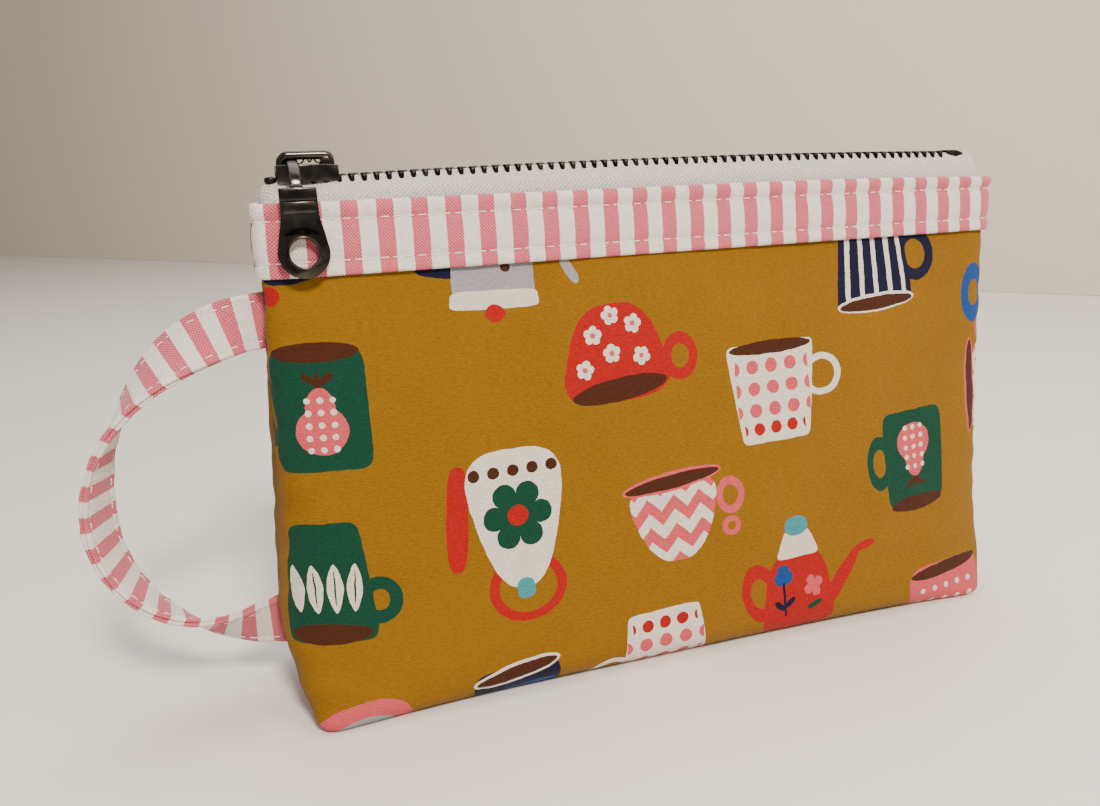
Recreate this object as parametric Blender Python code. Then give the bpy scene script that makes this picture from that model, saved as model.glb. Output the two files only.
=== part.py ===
"""Zippered pouch: a boxed cotton pouch with a striped band, a metal zip and a wrist strap.

Units are metres and +Z is up. The origin is the centre of the flat base. X runs along the zip,
from the slider's end to the bottom stop, and Y runs from the front of the pouch to its back.
The fabric layers are shells between insets of one body; every zip piece is placed from the
zip line, an empty that lies along the ridge.
"""

import math

import bmesh
import bpy
from mathutils import Vector

MM = 0.001

# Pouch body, measured on the outer face of the main panels.
TOP_WIDTH = 205.6 * MM
GUSSET_WIDTH = 212.8 * MM
BASE_WIDTH = 200.8 * MM
HEIGHT = 131.0 * MM
BASE_DEPTH = 50.0 * MM
RIDGE_DEPTH = 10.6 * MM
GUSSET_HEIGHT = 30.0 * MM
RIDGE_SLOPE = 0.020
EDGE_RADIUS = 3.5 * MM
SQUARENESS_AT_ENDS = 25.0
SQUARENESS_AT_GUSSET = 4.4
FRONT_STEPS = 16
SIDE_STEPS = 4
EDGE_STEPS = 2

# Fabric layers, from the outside in, and the gap that keeps each clear of the next.
GAP = 0.3 * MM
PANEL_THICKNESS = 0.5 * MM
FLEECE_THICKNESS = 1.0 * MM
LINING_THICKNESS = 0.4 * MM
BAND_THICKNESS = 0.8 * MM
TAPE_THICKNESS = 0.6 * MM
BASE_SEAM_SHIFT = 4.0 * MM
BASE_SEAM_HEIGHT = 5.0 * MM

# Edges below the zip line.
BAND_TOP = 6.2 * MM
BAND_BOTTOM = 22.0 * MM
TAPE_BOTTOM = 13.0 * MM
LINING_TOP = 3.6 * MM

# Zip chain.
TOOTH_PITCH = 2.88 * MM
TOOTH_LENGTH = 1.1 * MM
TOOTH_OUTER = 2.9 * MM
TOOTH_HOOK = 0.9 * MM
TOOTH_HEIGHT = 2.4 * MM
CORD_OUTER = 2.4 * MM
CORD_INNER = 1.3 * MM
BOTTOM_STOP_LENGTH = 6.2 * MM
BOTTOM_STOP_WIDTH = 4.4 * MM
BOTTOM_STOP_INSET = 5.4 * MM
TOP_STOP_LENGTH = 2.4 * MM

# Slider: its two plates hold the teeth between them.
SLIDER_LENGTH = 13.8 * MM
SLIDER_CLEARANCE = 0.35 * MM
PLATE_THICKNESS = 1.2 * MM
FLANGE_WIDTH = 1.0 * MM
POST_LENGTH = 3.0 * MM
POST_WIDTH = 2.0 * MM
POST_INSET = 1.2 * MM
CROWN_HEIGHT = 2.75 * MM
CROWN_RADIUS = 0.7 * MM
CROWN_INSET = 1.1 * MM
SPRING_WIDTH = 1.2 * MM
SPRING_THICKNESS = 0.4 * MM
SPRING_RISE = 1.0 * MM

# Link between the crown and the pull.
LINK_WIDTH = 2.8 * MM
LINK_HALF_THICKNESS = 0.6 * MM
LINK_RADIUS = 7.0 * MM
LINK_FROM_NOSE = 3.6 * MM
EYE_WALL = 0.7 * MM
LINK_DROP = 1.5 * MM
LINK_BOW = 1.1 * MM
EYE_STEPS = 20
PIVOT_RADIUS = 0.5 * MM

# Pull: a flat ring with a neck, hung by a small staple behind its top edge.
PULL_LENGTH = 19.6 * MM
PULL_THICKNESS = 1.3 * MM
PULL_RING_RADIUS = 5.6 * MM
PULL_HOLE_RADIUS = 3.15 * MM
PULL_NECK_WIDTH = 8.0 * MM
PULL_NECK_LENGTH = 6.0 * MM
PULL_TOP = 0.3 * MM
PULL_LEAN = math.radians(5)
STAPLE_WALL = 1.1 * MM
STAPLE_EAR = 0.6 * MM
STAPLE_STEPS = 12
RING_STEPS = 22

# Wrist strap: a flat loop sewn into the left side seam at two heights.
STRAP_WIDTH = 13.0 * MM
STRAP_THICKNESS = 2.0 * MM
STRAP_BELOW_BAND = 5.5 * MM
STRAP_LOW_HEIGHT = 20.8 * MM
STRAP_REACH = 38.0 * MM
STRAP_SAG = 4.5 * MM
STRAP_TWIST = math.radians(112)
STRAP_TWIST_EASE = 1.3
STRAP_TURN_BACK_EASE = 0.45
STRAP_SEAM_GAP = 1.6 * MM
STRAP_STEPS = 40

# Values that follow from the sizes above.
BAND_OUTSET = GAP + BAND_THICKNESS
FLEECE_INSET = PANEL_THICKNESS + GAP
LINING_INSET = FLEECE_INSET + FLEECE_THICKNESS + GAP
PLATE_INNER = TOOTH_HEIGHT / 2 + SLIDER_CLEARANCE
PLATE_TOP = PLATE_INNER + PLATE_THICKNESS
CHANNEL_HALF = TOOTH_OUTER + GAP
SLIDER_HALF = CHANNEL_HALF + FLANGE_WIDTH
SLOT_HALF = TAPE_THICKNESS / 2 + SLIDER_CLEARANCE
# The body's end wall is flat for the first step beside its middle and then falls back to a corner.
END_CORNER = TOP_WIDTH / 2 * (1 - 2 ** (-1 / SQUARENESS_AT_ENDS))
END_FLAT_SHARE = math.tan(math.radians(90 / SIDE_STEPS))
STOP_SHARE = (2 * TOOTH_OUTER / RIDGE_DEPTH - END_FLAT_SHARE) / (1 - END_FLAT_SHARE)
TOP_STOP_INSET = TAPE_THICKNESS + GAP + END_CORNER * max(STOP_SHARE, 0)
TOP_STOP_START = -TOP_WIDTH / 2 + TOP_STOP_INSET
SLIDER_START = TOP_STOP_START + TOP_STOP_LENGTH + 3 * GAP
SLIDER_END = SLIDER_START + SLIDER_LENGTH
TEETH_START = SLIDER_START + POST_INSET + POST_LENGTH + GAP
TEETH_END = TOP_WIDTH / 2 - BOTTOM_STOP_INSET - BOTTOM_STOP_LENGTH - GAP
CROWN_Z = PLATE_TOP + CROWN_HEIGHT
LINK_X = SLIDER_START + LINK_FROM_NOSE
ZIP_TILT = math.atan(RIDGE_SLOPE)
STRAP_TOP_HEIGHT = HEIGHT - BAND_BOTTOM - STRAP_WIDTH / 2 - STRAP_BELOW_BAND
SLIVER = GAP / 100  # keeps two flat faces of one union from lying in the same plane


def clear_scene():
    for scene_object in list(bpy.data.objects):
        bpy.data.objects.remove(scene_object, do_unlink=True)


def make_material(name, colour, roughness, metallic=0.0):
    material = bpy.data.materials.new(name)
    material.use_nodes = True
    shader = material.node_tree.nodes["Principled BSDF"]
    shader.inputs["Base Color"].default_value = (*colour, 1.0)
    shader.inputs["Roughness"].default_value = roughness
    shader.inputs["Metallic"].default_value = metallic
    material.diffuse_color = (*colour, 1.0)
    return material


def add_mesh(name, points, faces, material=None, parent=None):
    """A new object from points and faces, with its faces turned outwards."""
    mesh = bpy.data.meshes.new(name)
    mesh.from_pydata([tuple(point) for point in points], [], faces)
    shape = bmesh.new()
    shape.from_mesh(mesh)
    bmesh.ops.recalc_face_normals(shape, faces=shape.faces)
    shape.to_mesh(mesh)
    shape.free()
    return add_object(name, mesh, material, parent)


def add_object(name, data, material=None, parent=None):
    made = bpy.data.objects.new(name, data)
    bpy.context.scene.collection.objects.link(made)
    made.parent = parent
    if material:
        data.materials.append(material)
    return made


def add_empty(name, location=(0, 0, 0), rotation=(0, 0, 0), parent=None):
    empty = add_object(name, None, parent=parent)
    empty.location = location
    empty.rotation_euler = rotation
    return empty


def add_prism(name, outline, low, high, axis="X", material=None, parent=None):
    """An outline pushed along one axis, from low to high. The outline gives the other two
    coordinates, in the order X, Y, Z."""
    place = {
        "X": lambda u, v, along: (along, u, v),
        "Y": lambda u, v, along: (u, along, v),
        "Z": lambda u, v, along: (u, v, along),
    }[axis]
    count = len(outline)
    points = [place(u, v, along) for along in (low, high) for u, v in outline]
    faces = [tuple(range(count)), tuple(range(2 * count - 1, count - 1, -1))]
    for index in range(count):
        after = (index + 1) % count
        faces.append((index, after, after + count, index + count))
    return add_mesh(name, points, faces, material, parent)


def add_block(name, low, high, material=None, parent=None):
    (x0, y0, z0), (x1, y1, z1) = low, high
    outline = [(x0, y0), (x1, y0), (x1, y1), (x0, y1)]
    return add_prism(name, outline, z0, z1, "Z", material, parent)


def as_helper(helper):
    helper.hide_render = True
    helper.display_type = "WIRE"
    return helper


def combine(target, operation, *helpers):
    """Booleans with helpers, which stay in the scene as hidden wire shapes."""
    for helper in helpers:
        modifier = target.modifiers.new(f"{operation.title()} {helper.name}", "BOOLEAN")
        modifier.operation = operation
        modifier.object = as_helper(helper)
    return target


def arc(centre, radius, start, end, steps):
    """Points of a circular arc between two angles in degrees."""
    points = []
    for index in range(steps + 1):
        angle = math.radians(start + (end - start) * index / steps)
        points.append((centre[0] + radius * math.cos(angle), centre[1] + radius * math.sin(angle)))
    return points


def half_width(height):
    """Half of the body's width: the side gussets bulge just above the base."""
    if height < GUSSET_HEIGHT:
        rise = math.sin(math.pi / 2 * max(height, 0) / GUSSET_HEIGHT)
        return (BASE_WIDTH + (GUSSET_WIDTH - BASE_WIDTH) * rise) / 2
    fall = 1 - (height - GUSSET_HEIGHT) / (HEIGHT - GUSSET_HEIGHT)
    return (TOP_WIDTH + (GUSSET_WIDTH - TOP_WIDTH) * max(fall, 0) ** 2) / 2


def half_depth(height):
    """Half of the body's depth, which tapers evenly from the base to the zip."""
    return (BASE_DEPTH + (RIDGE_DEPTH - BASE_DEPTH) * height / HEIGHT) / 2


def squareness(height):
    """The superellipse's power: square at the base and the zip, soft at the gusset."""
    low, high = 1 / SQUARENESS_AT_ENDS, 1 / SQUARENESS_AT_GUSSET
    if height < GUSSET_HEIGHT:
        share = max(height, 0) / GUSSET_HEIGHT
    else:
        share = max(0, 1 - (height - GUSSET_HEIGHT) / (HEIGHT - GUSSET_HEIGHT))
    return 1 / (low + (high - low) * share)


def loop_angles():
    """Angles round one section, with more steps on the long front and back than on the sides."""
    front = [45 + 90 * index / FRONT_STEPS for index in range(FRONT_STEPS)]
    side = [135 + 90 * index / SIDE_STEPS for index in range(SIDE_STEPS)]
    return [math.radians(angle + turn) for turn in (0, 180) for angle in front + side]


def section(height, inset):
    """One ring of the body at a height, pulled in by inset."""
    power = squareness(height)
    wide, deep = half_width(height) - inset, half_depth(height) - inset
    ring = []
    for angle in loop_angles():
        across, along = math.cos(angle), math.sin(angle)
        reach = (abs(across) ** power + abs(along) ** power) ** (-1 / power)
        ring.append((wide * reach * across, deep * reach * along, height))
    return ring


def add_body(name, inset, material=None):
    """The whole body as a closed solid, inset from the main panels' outer face."""
    radius = max(EDGE_RADIUS - inset, GAP)
    rings = []
    for step in range(EDGE_STEPS + 1):
        angle = math.pi / 2 * step / EDGE_STEPS
        height = inset + radius * (1 - math.cos(angle))
        rings.append(section(height, inset + radius * (1 - math.sin(angle))))
    wall_heights = [share * GUSSET_HEIGHT for share in (0.3, 0.6, 1.0)]
    wall_steps = 5
    rise = HEIGHT - GUSSET_HEIGHT
    wall_heights += [GUSSET_HEIGHT + rise * step / wall_steps for step in range(1, wall_steps)]
    wall_heights.append(HEIGHT + 2 * BAND_TOP)
    rings += [section(height, inset) for height in wall_heights]
    count = len(rings[0])
    points = [point for ring in rings for point in ring]
    faces = [tuple(range(count)), tuple(range(len(points) - count, len(points)))]
    for ring in range(len(rings) - 1):
        for index in range(count):
            after = (index + 1) % count
            low, high = ring * count, (ring + 1) * count
            faces.append((low + index, low + after, high + after, high + index))
    return add_mesh(name, points, faces, material)


def add_half_cutter(name, side):
    """Everything on one side of the seams. The base seam lies a little behind the side seams."""
    far = BASE_DEPTH * side
    shift = BASE_SEAM_SHIFT + side * GAP / 2
    step_height = BASE_SEAM_HEIGHT + (GAP if side > 0 else 0)
    outline = [
        (far, -BASE_DEPTH),
        (shift, -BASE_DEPTH),
        (shift, step_height),
        (side * GAP / 2, step_height),
        (side * GAP / 2, 2 * HEIGHT),
        (far, 2 * HEIGHT),
    ]
    return as_helper(add_prism(name, outline, -GUSSET_WIDTH, GUSSET_WIDTH))


def add_slab(name, top, bottom, zip_line):
    """Everything between two depths below the zip line."""
    reach = GUSSET_WIDTH
    return as_helper(
        add_block(name, (-reach, -reach, -bottom), (reach, reach, -top), parent=zip_line)
    )


def add_layer(name, side, inset, thickness, top, bottom, zip_line, material):
    """One half of a fabric layer: a shell of the body, cut at the seams and at its edges."""
    layer = add_body(name, inset, material)
    combine(layer, "DIFFERENCE", add_body(f"{name}_inside", inset + thickness))
    combine(layer, "INTERSECT", add_half_cutter(f"{name}_half", side))
    combine(layer, "INTERSECT", add_slab(f"{name}_height", top, bottom, zip_line))
    return layer


def add_fabric(zip_line, materials):
    """Main panels, fleece and lining, with the striped bands over the panels' top edges."""
    below = 2 * HEIGHT
    panel_top = TAPE_BOTTOM + GAP
    for word, side in (("front", -1), ("back", 1)):
        add_layer(
            f"{word}_panel", side, 0, PANEL_THICKNESS, panel_top, below, zip_line,
            materials["print"],
        )
        add_layer(
            f"{word}_interfacing", side, FLEECE_INSET, FLEECE_THICKNESS, panel_top, below,
            zip_line, materials["fleece"],
        )
        add_layer(
            f"{word}_lining", side, LINING_INSET, LINING_THICKNESS, LINING_TOP, below,
            zip_line, materials["lining"],
        )
        add_layer(
            f"{word}_band", side, -BAND_OUTSET, BAND_THICKNESS, BAND_TOP, BAND_BOTTOM,
            zip_line, materials["stripe"],
        )


def add_tapes(zip_line, materials):
    """Each tape is flat beside the teeth and then turns down behind the band. A pocket in its end
    leaves room for the top stop."""
    for word, side in (("front", -1), ("back", 1)):
        name = f"{word}_zip_tape"
        half = TAPE_THICKNESS / 2
        tape = add_layer(
            name, side, 0, TAPE_THICKNESS, -half, TAPE_BOTTOM, zip_line, materials["tape"]
        )
        reach = TOP_WIDTH / 2 - TAPE_THICKNESS - BAND_OUTSET
        inner, outer = side * CHANNEL_HALF, side * (RIDGE_DEPTH / 2 - half)
        lip = add_block(
            f"{name}_lip",
            (-reach, min(inner, outer), -half + SLIVER),
            (reach, max(inner, outer), half - SLIVER),
            parent=zip_line,
        )
        combine(tape, "UNION", lip)
        room, depth = CHANNEL_HALF - SLIVER, TOOTH_HEIGHT / 2 + GAP
        pocket = add_block(
            f"{name}_stop_pocket",
            (TOP_STOP_START - GAP, -room, -depth),
            (TOP_STOP_START + TOP_STOP_LENGTH + GAP, room, depth),
            parent=zip_line,
        )
        combine(tape, "DIFFERENCE", pocket)


def tooth_row_outline(start, count):
    """The plan of one row of teeth on its bead cord, for the front tape."""
    end = start + (count - 1) * TOOTH_PITCH + TOOTH_LENGTH
    inner, outer = [], []
    for index in range(count):
        left = start + index * TOOTH_PITCH
        right = left + TOOTH_LENGTH
        for row, root, tip in ((inner, CORD_INNER, -TOOTH_HOOK), (outer, CORD_OUTER, TOOTH_OUTER)):
            row += [(left, -root), (left, -tip), (right, -tip), (right, -root)]
    inner[0], inner[-1] = (start, -CORD_INNER), (end, -CORD_INNER)
    return inner + outer[::-1]


def add_chain(zip_line, materials):
    """Two rows of teeth that interlock along the middle, and the stops at their ends."""
    per_row = int((TEETH_END - TEETH_START - TOOTH_PITCH / 2 - TOOTH_LENGTH) / TOOTH_PITCH) + 1
    half = TOOTH_HEIGHT / 2
    for word, side in (("front", -1), ("back", 1)):
        start = TEETH_START + (TOOTH_PITCH / 2 if side > 0 else 0)
        outline = [(x, -side * y) for x, y in tooth_row_outline(start, per_row)]
        add_prism(
            f"{word}_zip_teeth", outline, -half, half, "Z", materials["dark_metal"], zip_line
        )
        near, far = side * TOOTH_HOOK, side * TOOTH_OUTER
        stop = add_block(
            f"{word}_top_stop",
            (TOP_STOP_START, min(near, far), -half),
            (TOP_STOP_START + TOP_STOP_LENGTH, max(near, far), half),
            materials["dark_metal"],
            zip_line,
        )
        soften(stop, 2 * GAP)
    start = TEETH_END + GAP
    stop = add_block(
        "bottom_stop",
        (start, -BOTTOM_STOP_WIDTH / 2, -half),
        (start + BOTTOM_STOP_LENGTH, BOTTOM_STOP_WIDTH / 2, half),
        materials["dark_metal"],
        zip_line,
    )
    soften(stop, 2 * GAP)


def soften(target, width, segments=2):
    modifier = target.modifiers.new("Rounded edges", "BEVEL")
    modifier.width = width
    modifier.segments = segments
    return modifier


def add_slider(carrier, materials):
    """Body with its channel and post, crown over it and lock spring under the crown."""
    metal = materials["gunmetal"]
    length, far = SLIDER_LENGTH, SLIDER_LENGTH * 2
    body = add_block(
        "slider_body", (0, -SLIDER_HALF, -PLATE_TOP), (length, SLIDER_HALF, PLATE_TOP),
        metal, carrier,
    )
    soften(body, PLATE_THICKNESS / 2)
    channel = add_block(
        "slider_channel", (-far, -CHANNEL_HALF, -PLATE_INNER), (far, CHANNEL_HALF, PLATE_INNER),
        parent=carrier,
    )
    slot = add_block(
        "slider_slot", (-far, -far, -SLOT_HALF), (far, far, SLOT_HALF), parent=carrier
    )
    middle = POST_INSET + POST_LENGTH / 2
    diamond = [
        (POST_INSET, 0), (middle, -POST_WIDTH / 2), (POST_INSET + POST_LENGTH, 0),
        (middle, POST_WIDTH / 2),
    ]
    overlap = PLATE_THICKNESS / 2
    post = add_prism(
        "slider_post", diamond, -PLATE_INNER - overlap, PLATE_INNER + overlap, "Z",
        parent=carrier,
    )
    combine(body, "DIFFERENCE", channel, slot)
    combine(body, "UNION", post)
    add_crown(carrier, metal)
    add_lock_spring(carrier, metal)


def add_crown(carrier, metal):
    """A round bar bent into an arch along the slider."""
    curve = bpy.data.curves.new("slider_crown", "CURVE")
    curve.dimensions = "3D"
    curve.bevel_depth = CROWN_RADIUS
    curve.bevel_resolution = 2
    curve.use_fill_caps = True
    bend = 2 * CROWN_RADIUS
    left, right = CROWN_INSET, SLIDER_LENGTH - CROWN_INSET
    foot = PLATE_TOP + GAP
    path = [(left, foot)]
    path += arc((left + bend, CROWN_Z - bend), bend, 180, 90, 4)
    path += arc((right - bend, CROWN_Z - bend), bend, 90, 0, 4)
    path.append((right, foot))
    spline = curve.splines.new("POLY")
    spline.points.add(len(path) - 1)
    for point, (x, z) in zip(spline.points, path):
        point.co = (x, 0, z, 1)
    return add_object("slider_crown", curve, metal, carrier)


def add_lock_spring(carrier, metal):
    """A bent leaf that holds the lock pin down inside the crown."""
    foot = PLATE_TOP + GAP
    low = LINK_FROM_NOSE + LINK_WIDTH / 2 + GAP
    high = SLIDER_LENGTH - CROWN_INSET - CROWN_RADIUS - GAP
    fold = SPRING_RISE
    bends = [(low, 0), (low + fold, fold), (low + 2 * fold, 0), (high, 0)]
    outline = [(x, foot + z) for x, z in bends]
    outline += [(x, foot + z + SPRING_THICKNESS) for x, z in reversed(bends)]
    half = SPRING_WIDTH / 2
    return add_prism("slider_lock_spring", outline, -half, half, "Y", metal, carrier)


def link_outline(centre, tip):
    """The link's side view: an eye on the crown, a curved arm and an eye at its tip."""
    half = LINK_HALF_THICKNESS
    reach = math.hypot(*centre)
    first = math.degrees(math.atan2(-centre[1], -centre[0]))
    outer = arc(centre, reach + half, first, 180, 8)
    inner = arc(centre, reach - half, 180, first, 8)
    return outer + [(tip[0] - half, tip[1]), (tip[0] + half, tip[1])] + inner


def add_link(link_pivot, metal):
    """A bent link whose two eyes turn on bars along X."""
    centre = (-LINK_BOW, -math.sqrt(LINK_RADIUS**2 - LINK_BOW**2))
    tip = (centre[0] - LINK_RADIUS, centre[1] - LINK_DROP)
    half = LINK_WIDTH / 2
    link = add_prism(
        "pull_link", link_outline(centre, tip), -half, half, "X", metal, link_pivot
    )
    crown_hole = CROWN_RADIUS + GAP
    tip_hole = PIVOT_RADIUS + GAP
    for index, (place, hole) in enumerate((((0, 0), crown_hole), (tip, tip_hole))):
        ring = arc(place, hole + EYE_WALL, 0, 360, EYE_STEPS)[:-1]
        eye = add_prism(f"link_eye_{index}", ring, -half, half, "X", parent=link_pivot)
        combine(link, "UNION", eye)
    for index, (place, hole) in enumerate((((0, 0), crown_hole), (tip, tip_hole))):
        ring = arc(place, hole, 0, 360, EYE_STEPS)[:-1]
        bore = add_prism(f"link_bore_{index}", ring, -2 * half, 2 * half, "X", parent=link_pivot)
        combine(link, "DIFFERENCE", bore)
    return tip


def pull_outline():
    """Front view: a straight neck that widens along two tangents into a ring."""
    ring_centre = PULL_TOP - PULL_LENGTH + PULL_RING_RADIUS
    neck = PULL_NECK_WIDTH / 2
    shoulder = (neck, PULL_TOP - PULL_NECK_LENGTH)
    away = math.hypot(shoulder[0], shoulder[1] - ring_centre)
    bearing = math.degrees(math.atan2(shoulder[1] - ring_centre, shoulder[0]))
    tangent = bearing - math.degrees(math.acos(PULL_RING_RADIUS / away))
    outline = [(-neck, PULL_TOP), (-shoulder[0], shoulder[1])]
    outline += arc((0, ring_centre), PULL_RING_RADIUS, 180 - tangent, 360 + tangent, RING_STEPS)
    outline += [shoulder, (neck, PULL_TOP)]
    return outline, ring_centre


def add_pull(pull_pivot, metal):
    """The pull's plate hangs in front of its pivot, which is the bar of a staple behind it."""
    back = -(PIVOT_RADIUS + GAP + EYE_WALL + GAP / 2)
    outline, ring_centre = pull_outline()
    plate = add_prism(
        "pull_tab", outline, back - PULL_THICKNESS, back, "Y", metal, pull_pivot
    )
    ring = arc((0, ring_centre), PULL_HOLE_RADIUS, 0, 360, RING_STEPS)[:-1]
    hole = add_prism("pull_hole", ring, back * 4, -back, "Y", parent=pull_pivot)
    combine(plate, "DIFFERENCE", hole)
    inner = LINK_WIDTH / 2 + GAP
    outer = inner + STAPLE_WALL
    bar = arc((0, 0), PIVOT_RADIUS, 0, 360, STAPLE_STEPS)[:-1]
    staple_bar = add_prism("staple_bar", bar, -outer, outer, "X", parent=pull_pivot)
    combine(plate, "UNION", staple_bar)
    cheek, top = STAPLE_EAR, PULL_TOP - SLIVER
    for word, side in (("left", -1), ("right", 1)):
        low, high = sorted((side * inner, side * outer))
        ear = [(cheek, -cheek), (cheek, top), (back - GAP, top), (back - GAP, -cheek)]
        staple_ear = add_prism(f"staple_ear_{word}", ear, low, high, "X", parent=pull_pivot)
        combine(plate, "UNION", staple_ear)


def strap_frame(share):
    """Centre and width direction of the strap, for a share from its upper end to its lower."""
    turn = math.pi * share
    out = math.sin(turn)
    top_root = half_width(STRAP_TOP_HEIGHT) + STRAP_SEAM_GAP
    low_root = half_width(STRAP_LOW_HEIGHT) + STRAP_SEAM_GAP
    middle = (STRAP_TOP_HEIGHT + STRAP_LOW_HEIGHT) / 2
    rise = (STRAP_TOP_HEIGHT - STRAP_LOW_HEIGHT) / 2
    root = top_root + (low_root - top_root) * share
    height = middle - STRAP_SAG * out + rise * math.cos(turn)
    centre = Vector((-root - STRAP_REACH * out, 0, height))
    outward = Vector((-math.sin(turn) / STRAP_REACH, 0, math.cos(turn) / rise)).normalized()
    twist = STRAP_TWIST * max(out, 0) ** (
        STRAP_TWIST_EASE if share < 0.5 else STRAP_TURN_BACK_EASE
    )
    return centre, outward * math.cos(twist) + Vector((0, 1, 0)) * math.sin(twist)


def add_strap(materials):
    """A closed strip that leaves the seam edge up, turns over and comes back to the seam."""
    hinge = add_empty("strap_hinge", (-(half_width(STRAP_LOW_HEIGHT) + STRAP_SEAM_GAP), 0, 0))
    frames = [strap_frame(step / STRAP_STEPS) for step in range(STRAP_STEPS + 1)]
    points = []
    for index, (centre, across) in enumerate(frames):
        before, after = frames[max(index - 1, 0)][0], frames[min(index + 1, STRAP_STEPS)][0]
        along = (after - before).normalized()
        if index in (0, STRAP_STEPS):
            along = Vector((-1 if index == 0 else 1, 0, 0))
            across = Vector((0, 0, 1 if index == 0 else -1))
        across = (across - along * across.dot(along)).normalized()
        normal = along.cross(across)
        for u, v in ((-1, -1), (1, -1), (1, 1), (-1, 1)):
            corner = centre + across * u * STRAP_WIDTH / 2 + normal * v * STRAP_THICKNESS / 2
            points.append(corner - hinge.location)
    faces = [(0, 1, 2, 3), tuple(4 * STRAP_STEPS + corner for corner in (3, 2, 1, 0))]
    for ring in range(STRAP_STEPS):
        for corner in range(4):
            after = (corner + 1) % 4
            low, high = 4 * ring, 4 * ring + 4
            faces.append((low + corner, low + after, high + after, high + corner))
    return add_mesh("wrist_strap", points, faces, materials["stripe"], hinge)


def main():
    clear_scene()
    materials = {
        "print": make_material("mustard printed cotton", (0.508, 0.254, 0.012), 0.85),
        "stripe": make_material("pink and white striped cotton", (0.75, 0.42, 0.45), 0.85),
        "fleece": make_material("fusible fleece", (0.8, 0.78, 0.74), 0.95),
        "lining": make_material("white cotton lining", (0.75, 0.72, 0.68), 0.85),
        "tape": make_material("grey polyester zip tape", (0.6, 0.57, 0.55), 0.8),
        "dark_metal": make_material("black oxidised brass", (0.02, 0.018, 0.017), 0.35, 1.0),
        "gunmetal": make_material("gunmetal plated zinc", (0.07, 0.06, 0.055), 0.3, 1.0),
    }
    zip_line = add_empty("zip_line", (0, 0, HEIGHT), (0, -ZIP_TILT, 0))
    add_fabric(zip_line, materials)
    add_tapes(zip_line, materials)
    add_chain(zip_line, materials)
    carrier = add_empty("slider_carrier", (SLIDER_START, 0, 0), parent=zip_line)
    add_slider(carrier, materials)
    link_pivot = add_empty("link_pivot", (LINK_FROM_NOSE, 0, CROWN_Z), parent=carrier)
    tip = add_link(link_pivot, materials["gunmetal"])
    pull_pivot = add_empty("pull_pivot", (0, *tip), (-PULL_LEAN, 0, 0), link_pivot)
    add_pull(pull_pivot, materials["gunmetal"])
    add_strap(materials)


if __name__ == "__main__":
    main()
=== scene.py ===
"""Looks for the zippered pouch: printed cotton body, striped band, metal zip, ring pull and strap.

Lengths are written in millimetres and turned to metres where a mesh is made. The fabric sheets
follow the same curved body as the CAD part; metal pieces sit where the CAD nodes are.
"""

import math

import bmesh
import bpy
import numpy as np
from mathutils import Matrix, Vector


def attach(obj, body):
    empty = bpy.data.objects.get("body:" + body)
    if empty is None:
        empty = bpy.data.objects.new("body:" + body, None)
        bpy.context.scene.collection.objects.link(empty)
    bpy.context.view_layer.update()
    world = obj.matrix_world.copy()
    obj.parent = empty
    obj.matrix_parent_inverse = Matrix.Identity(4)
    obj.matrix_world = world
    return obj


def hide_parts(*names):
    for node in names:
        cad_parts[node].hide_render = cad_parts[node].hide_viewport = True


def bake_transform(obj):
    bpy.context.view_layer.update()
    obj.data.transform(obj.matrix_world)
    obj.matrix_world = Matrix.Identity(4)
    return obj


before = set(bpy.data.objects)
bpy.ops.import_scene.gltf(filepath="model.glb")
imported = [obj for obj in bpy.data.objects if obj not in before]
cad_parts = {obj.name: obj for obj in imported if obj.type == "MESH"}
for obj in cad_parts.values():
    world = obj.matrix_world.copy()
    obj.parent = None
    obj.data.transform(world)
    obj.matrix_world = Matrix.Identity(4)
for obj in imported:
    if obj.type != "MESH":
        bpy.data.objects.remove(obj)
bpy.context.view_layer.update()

bl_info = {
    "name": "Zippered pouch",
    "version": (1, 0, 0),
    "blender": (4, 5, 0),
    "location": "View3D > Sidebar > Pouch",
    "description": "Builds a soft boxed pouch with a striped band, a metal zip and a wrist strap",
    "category": "Add Mesh",
}

MM = 0.001

# The body's shape, as in the CAD part.
TOP_WIDTH, GUSSET_WIDTH, BASE_WIDTH = 205.6, 212.8, 200.8
HEIGHT, BASE_DEPTH, RIDGE_DEPTH = 131.0, 50.0, 10.6
GUSSET_HEIGHT, RIDGE_SLOPE = 30.0, 0.02
SQUARENESS_AT_ENDS, SQUARENESS_AT_GUSSET = 25.0, 4.4
TAPE_BOTTOM = 13.0
SEAM_HALF_GAP = 0.15

# Zip pieces along the zip line, measured from its middle.
SLIDER_START, SLIDER_LENGTH = -97.942, 13.8
TOOTH_PITCH, TEETH_START, TEETH_COUNT = 2.88, -93.442, 64
TOP_STOP_START, STOP_START = -101.24, 91.2
LINK_FROM_NOSE, CROWN_Z, CROWN_TOP, PLATE_TOP = 3.6, 5.5, 5.6, 2.6
LINK_RADIUS, LINK_BOW, LINK_DROP = 7.0, 1.1, 1.5
PULL_LEAN = math.radians(5)
PULL_TOP, PULL_LENGTH, PULL_RING, PULL_HOLE = 0.3, 19.6, 5.6, 3.15
PULL_NECK_LENGTH, PULL_THICKNESS = 6.0, 1.3
PULL_BACK = -1.65

# Wrist strap.
STRAP_WIDTH, STRAP_TOP_HEIGHT, STRAP_LOW_HEIGHT = 13.0, 97.0, 20.8
STRAP_REACH, STRAP_SAG, STRAP_SEAM_GAP = 38.0, 4.5, 1.6
STRAP_TWIST, STRAP_TWIST_EASE, STRAP_TURN_BACK_EASE = math.radians(112), 1.3, 0.78

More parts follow.
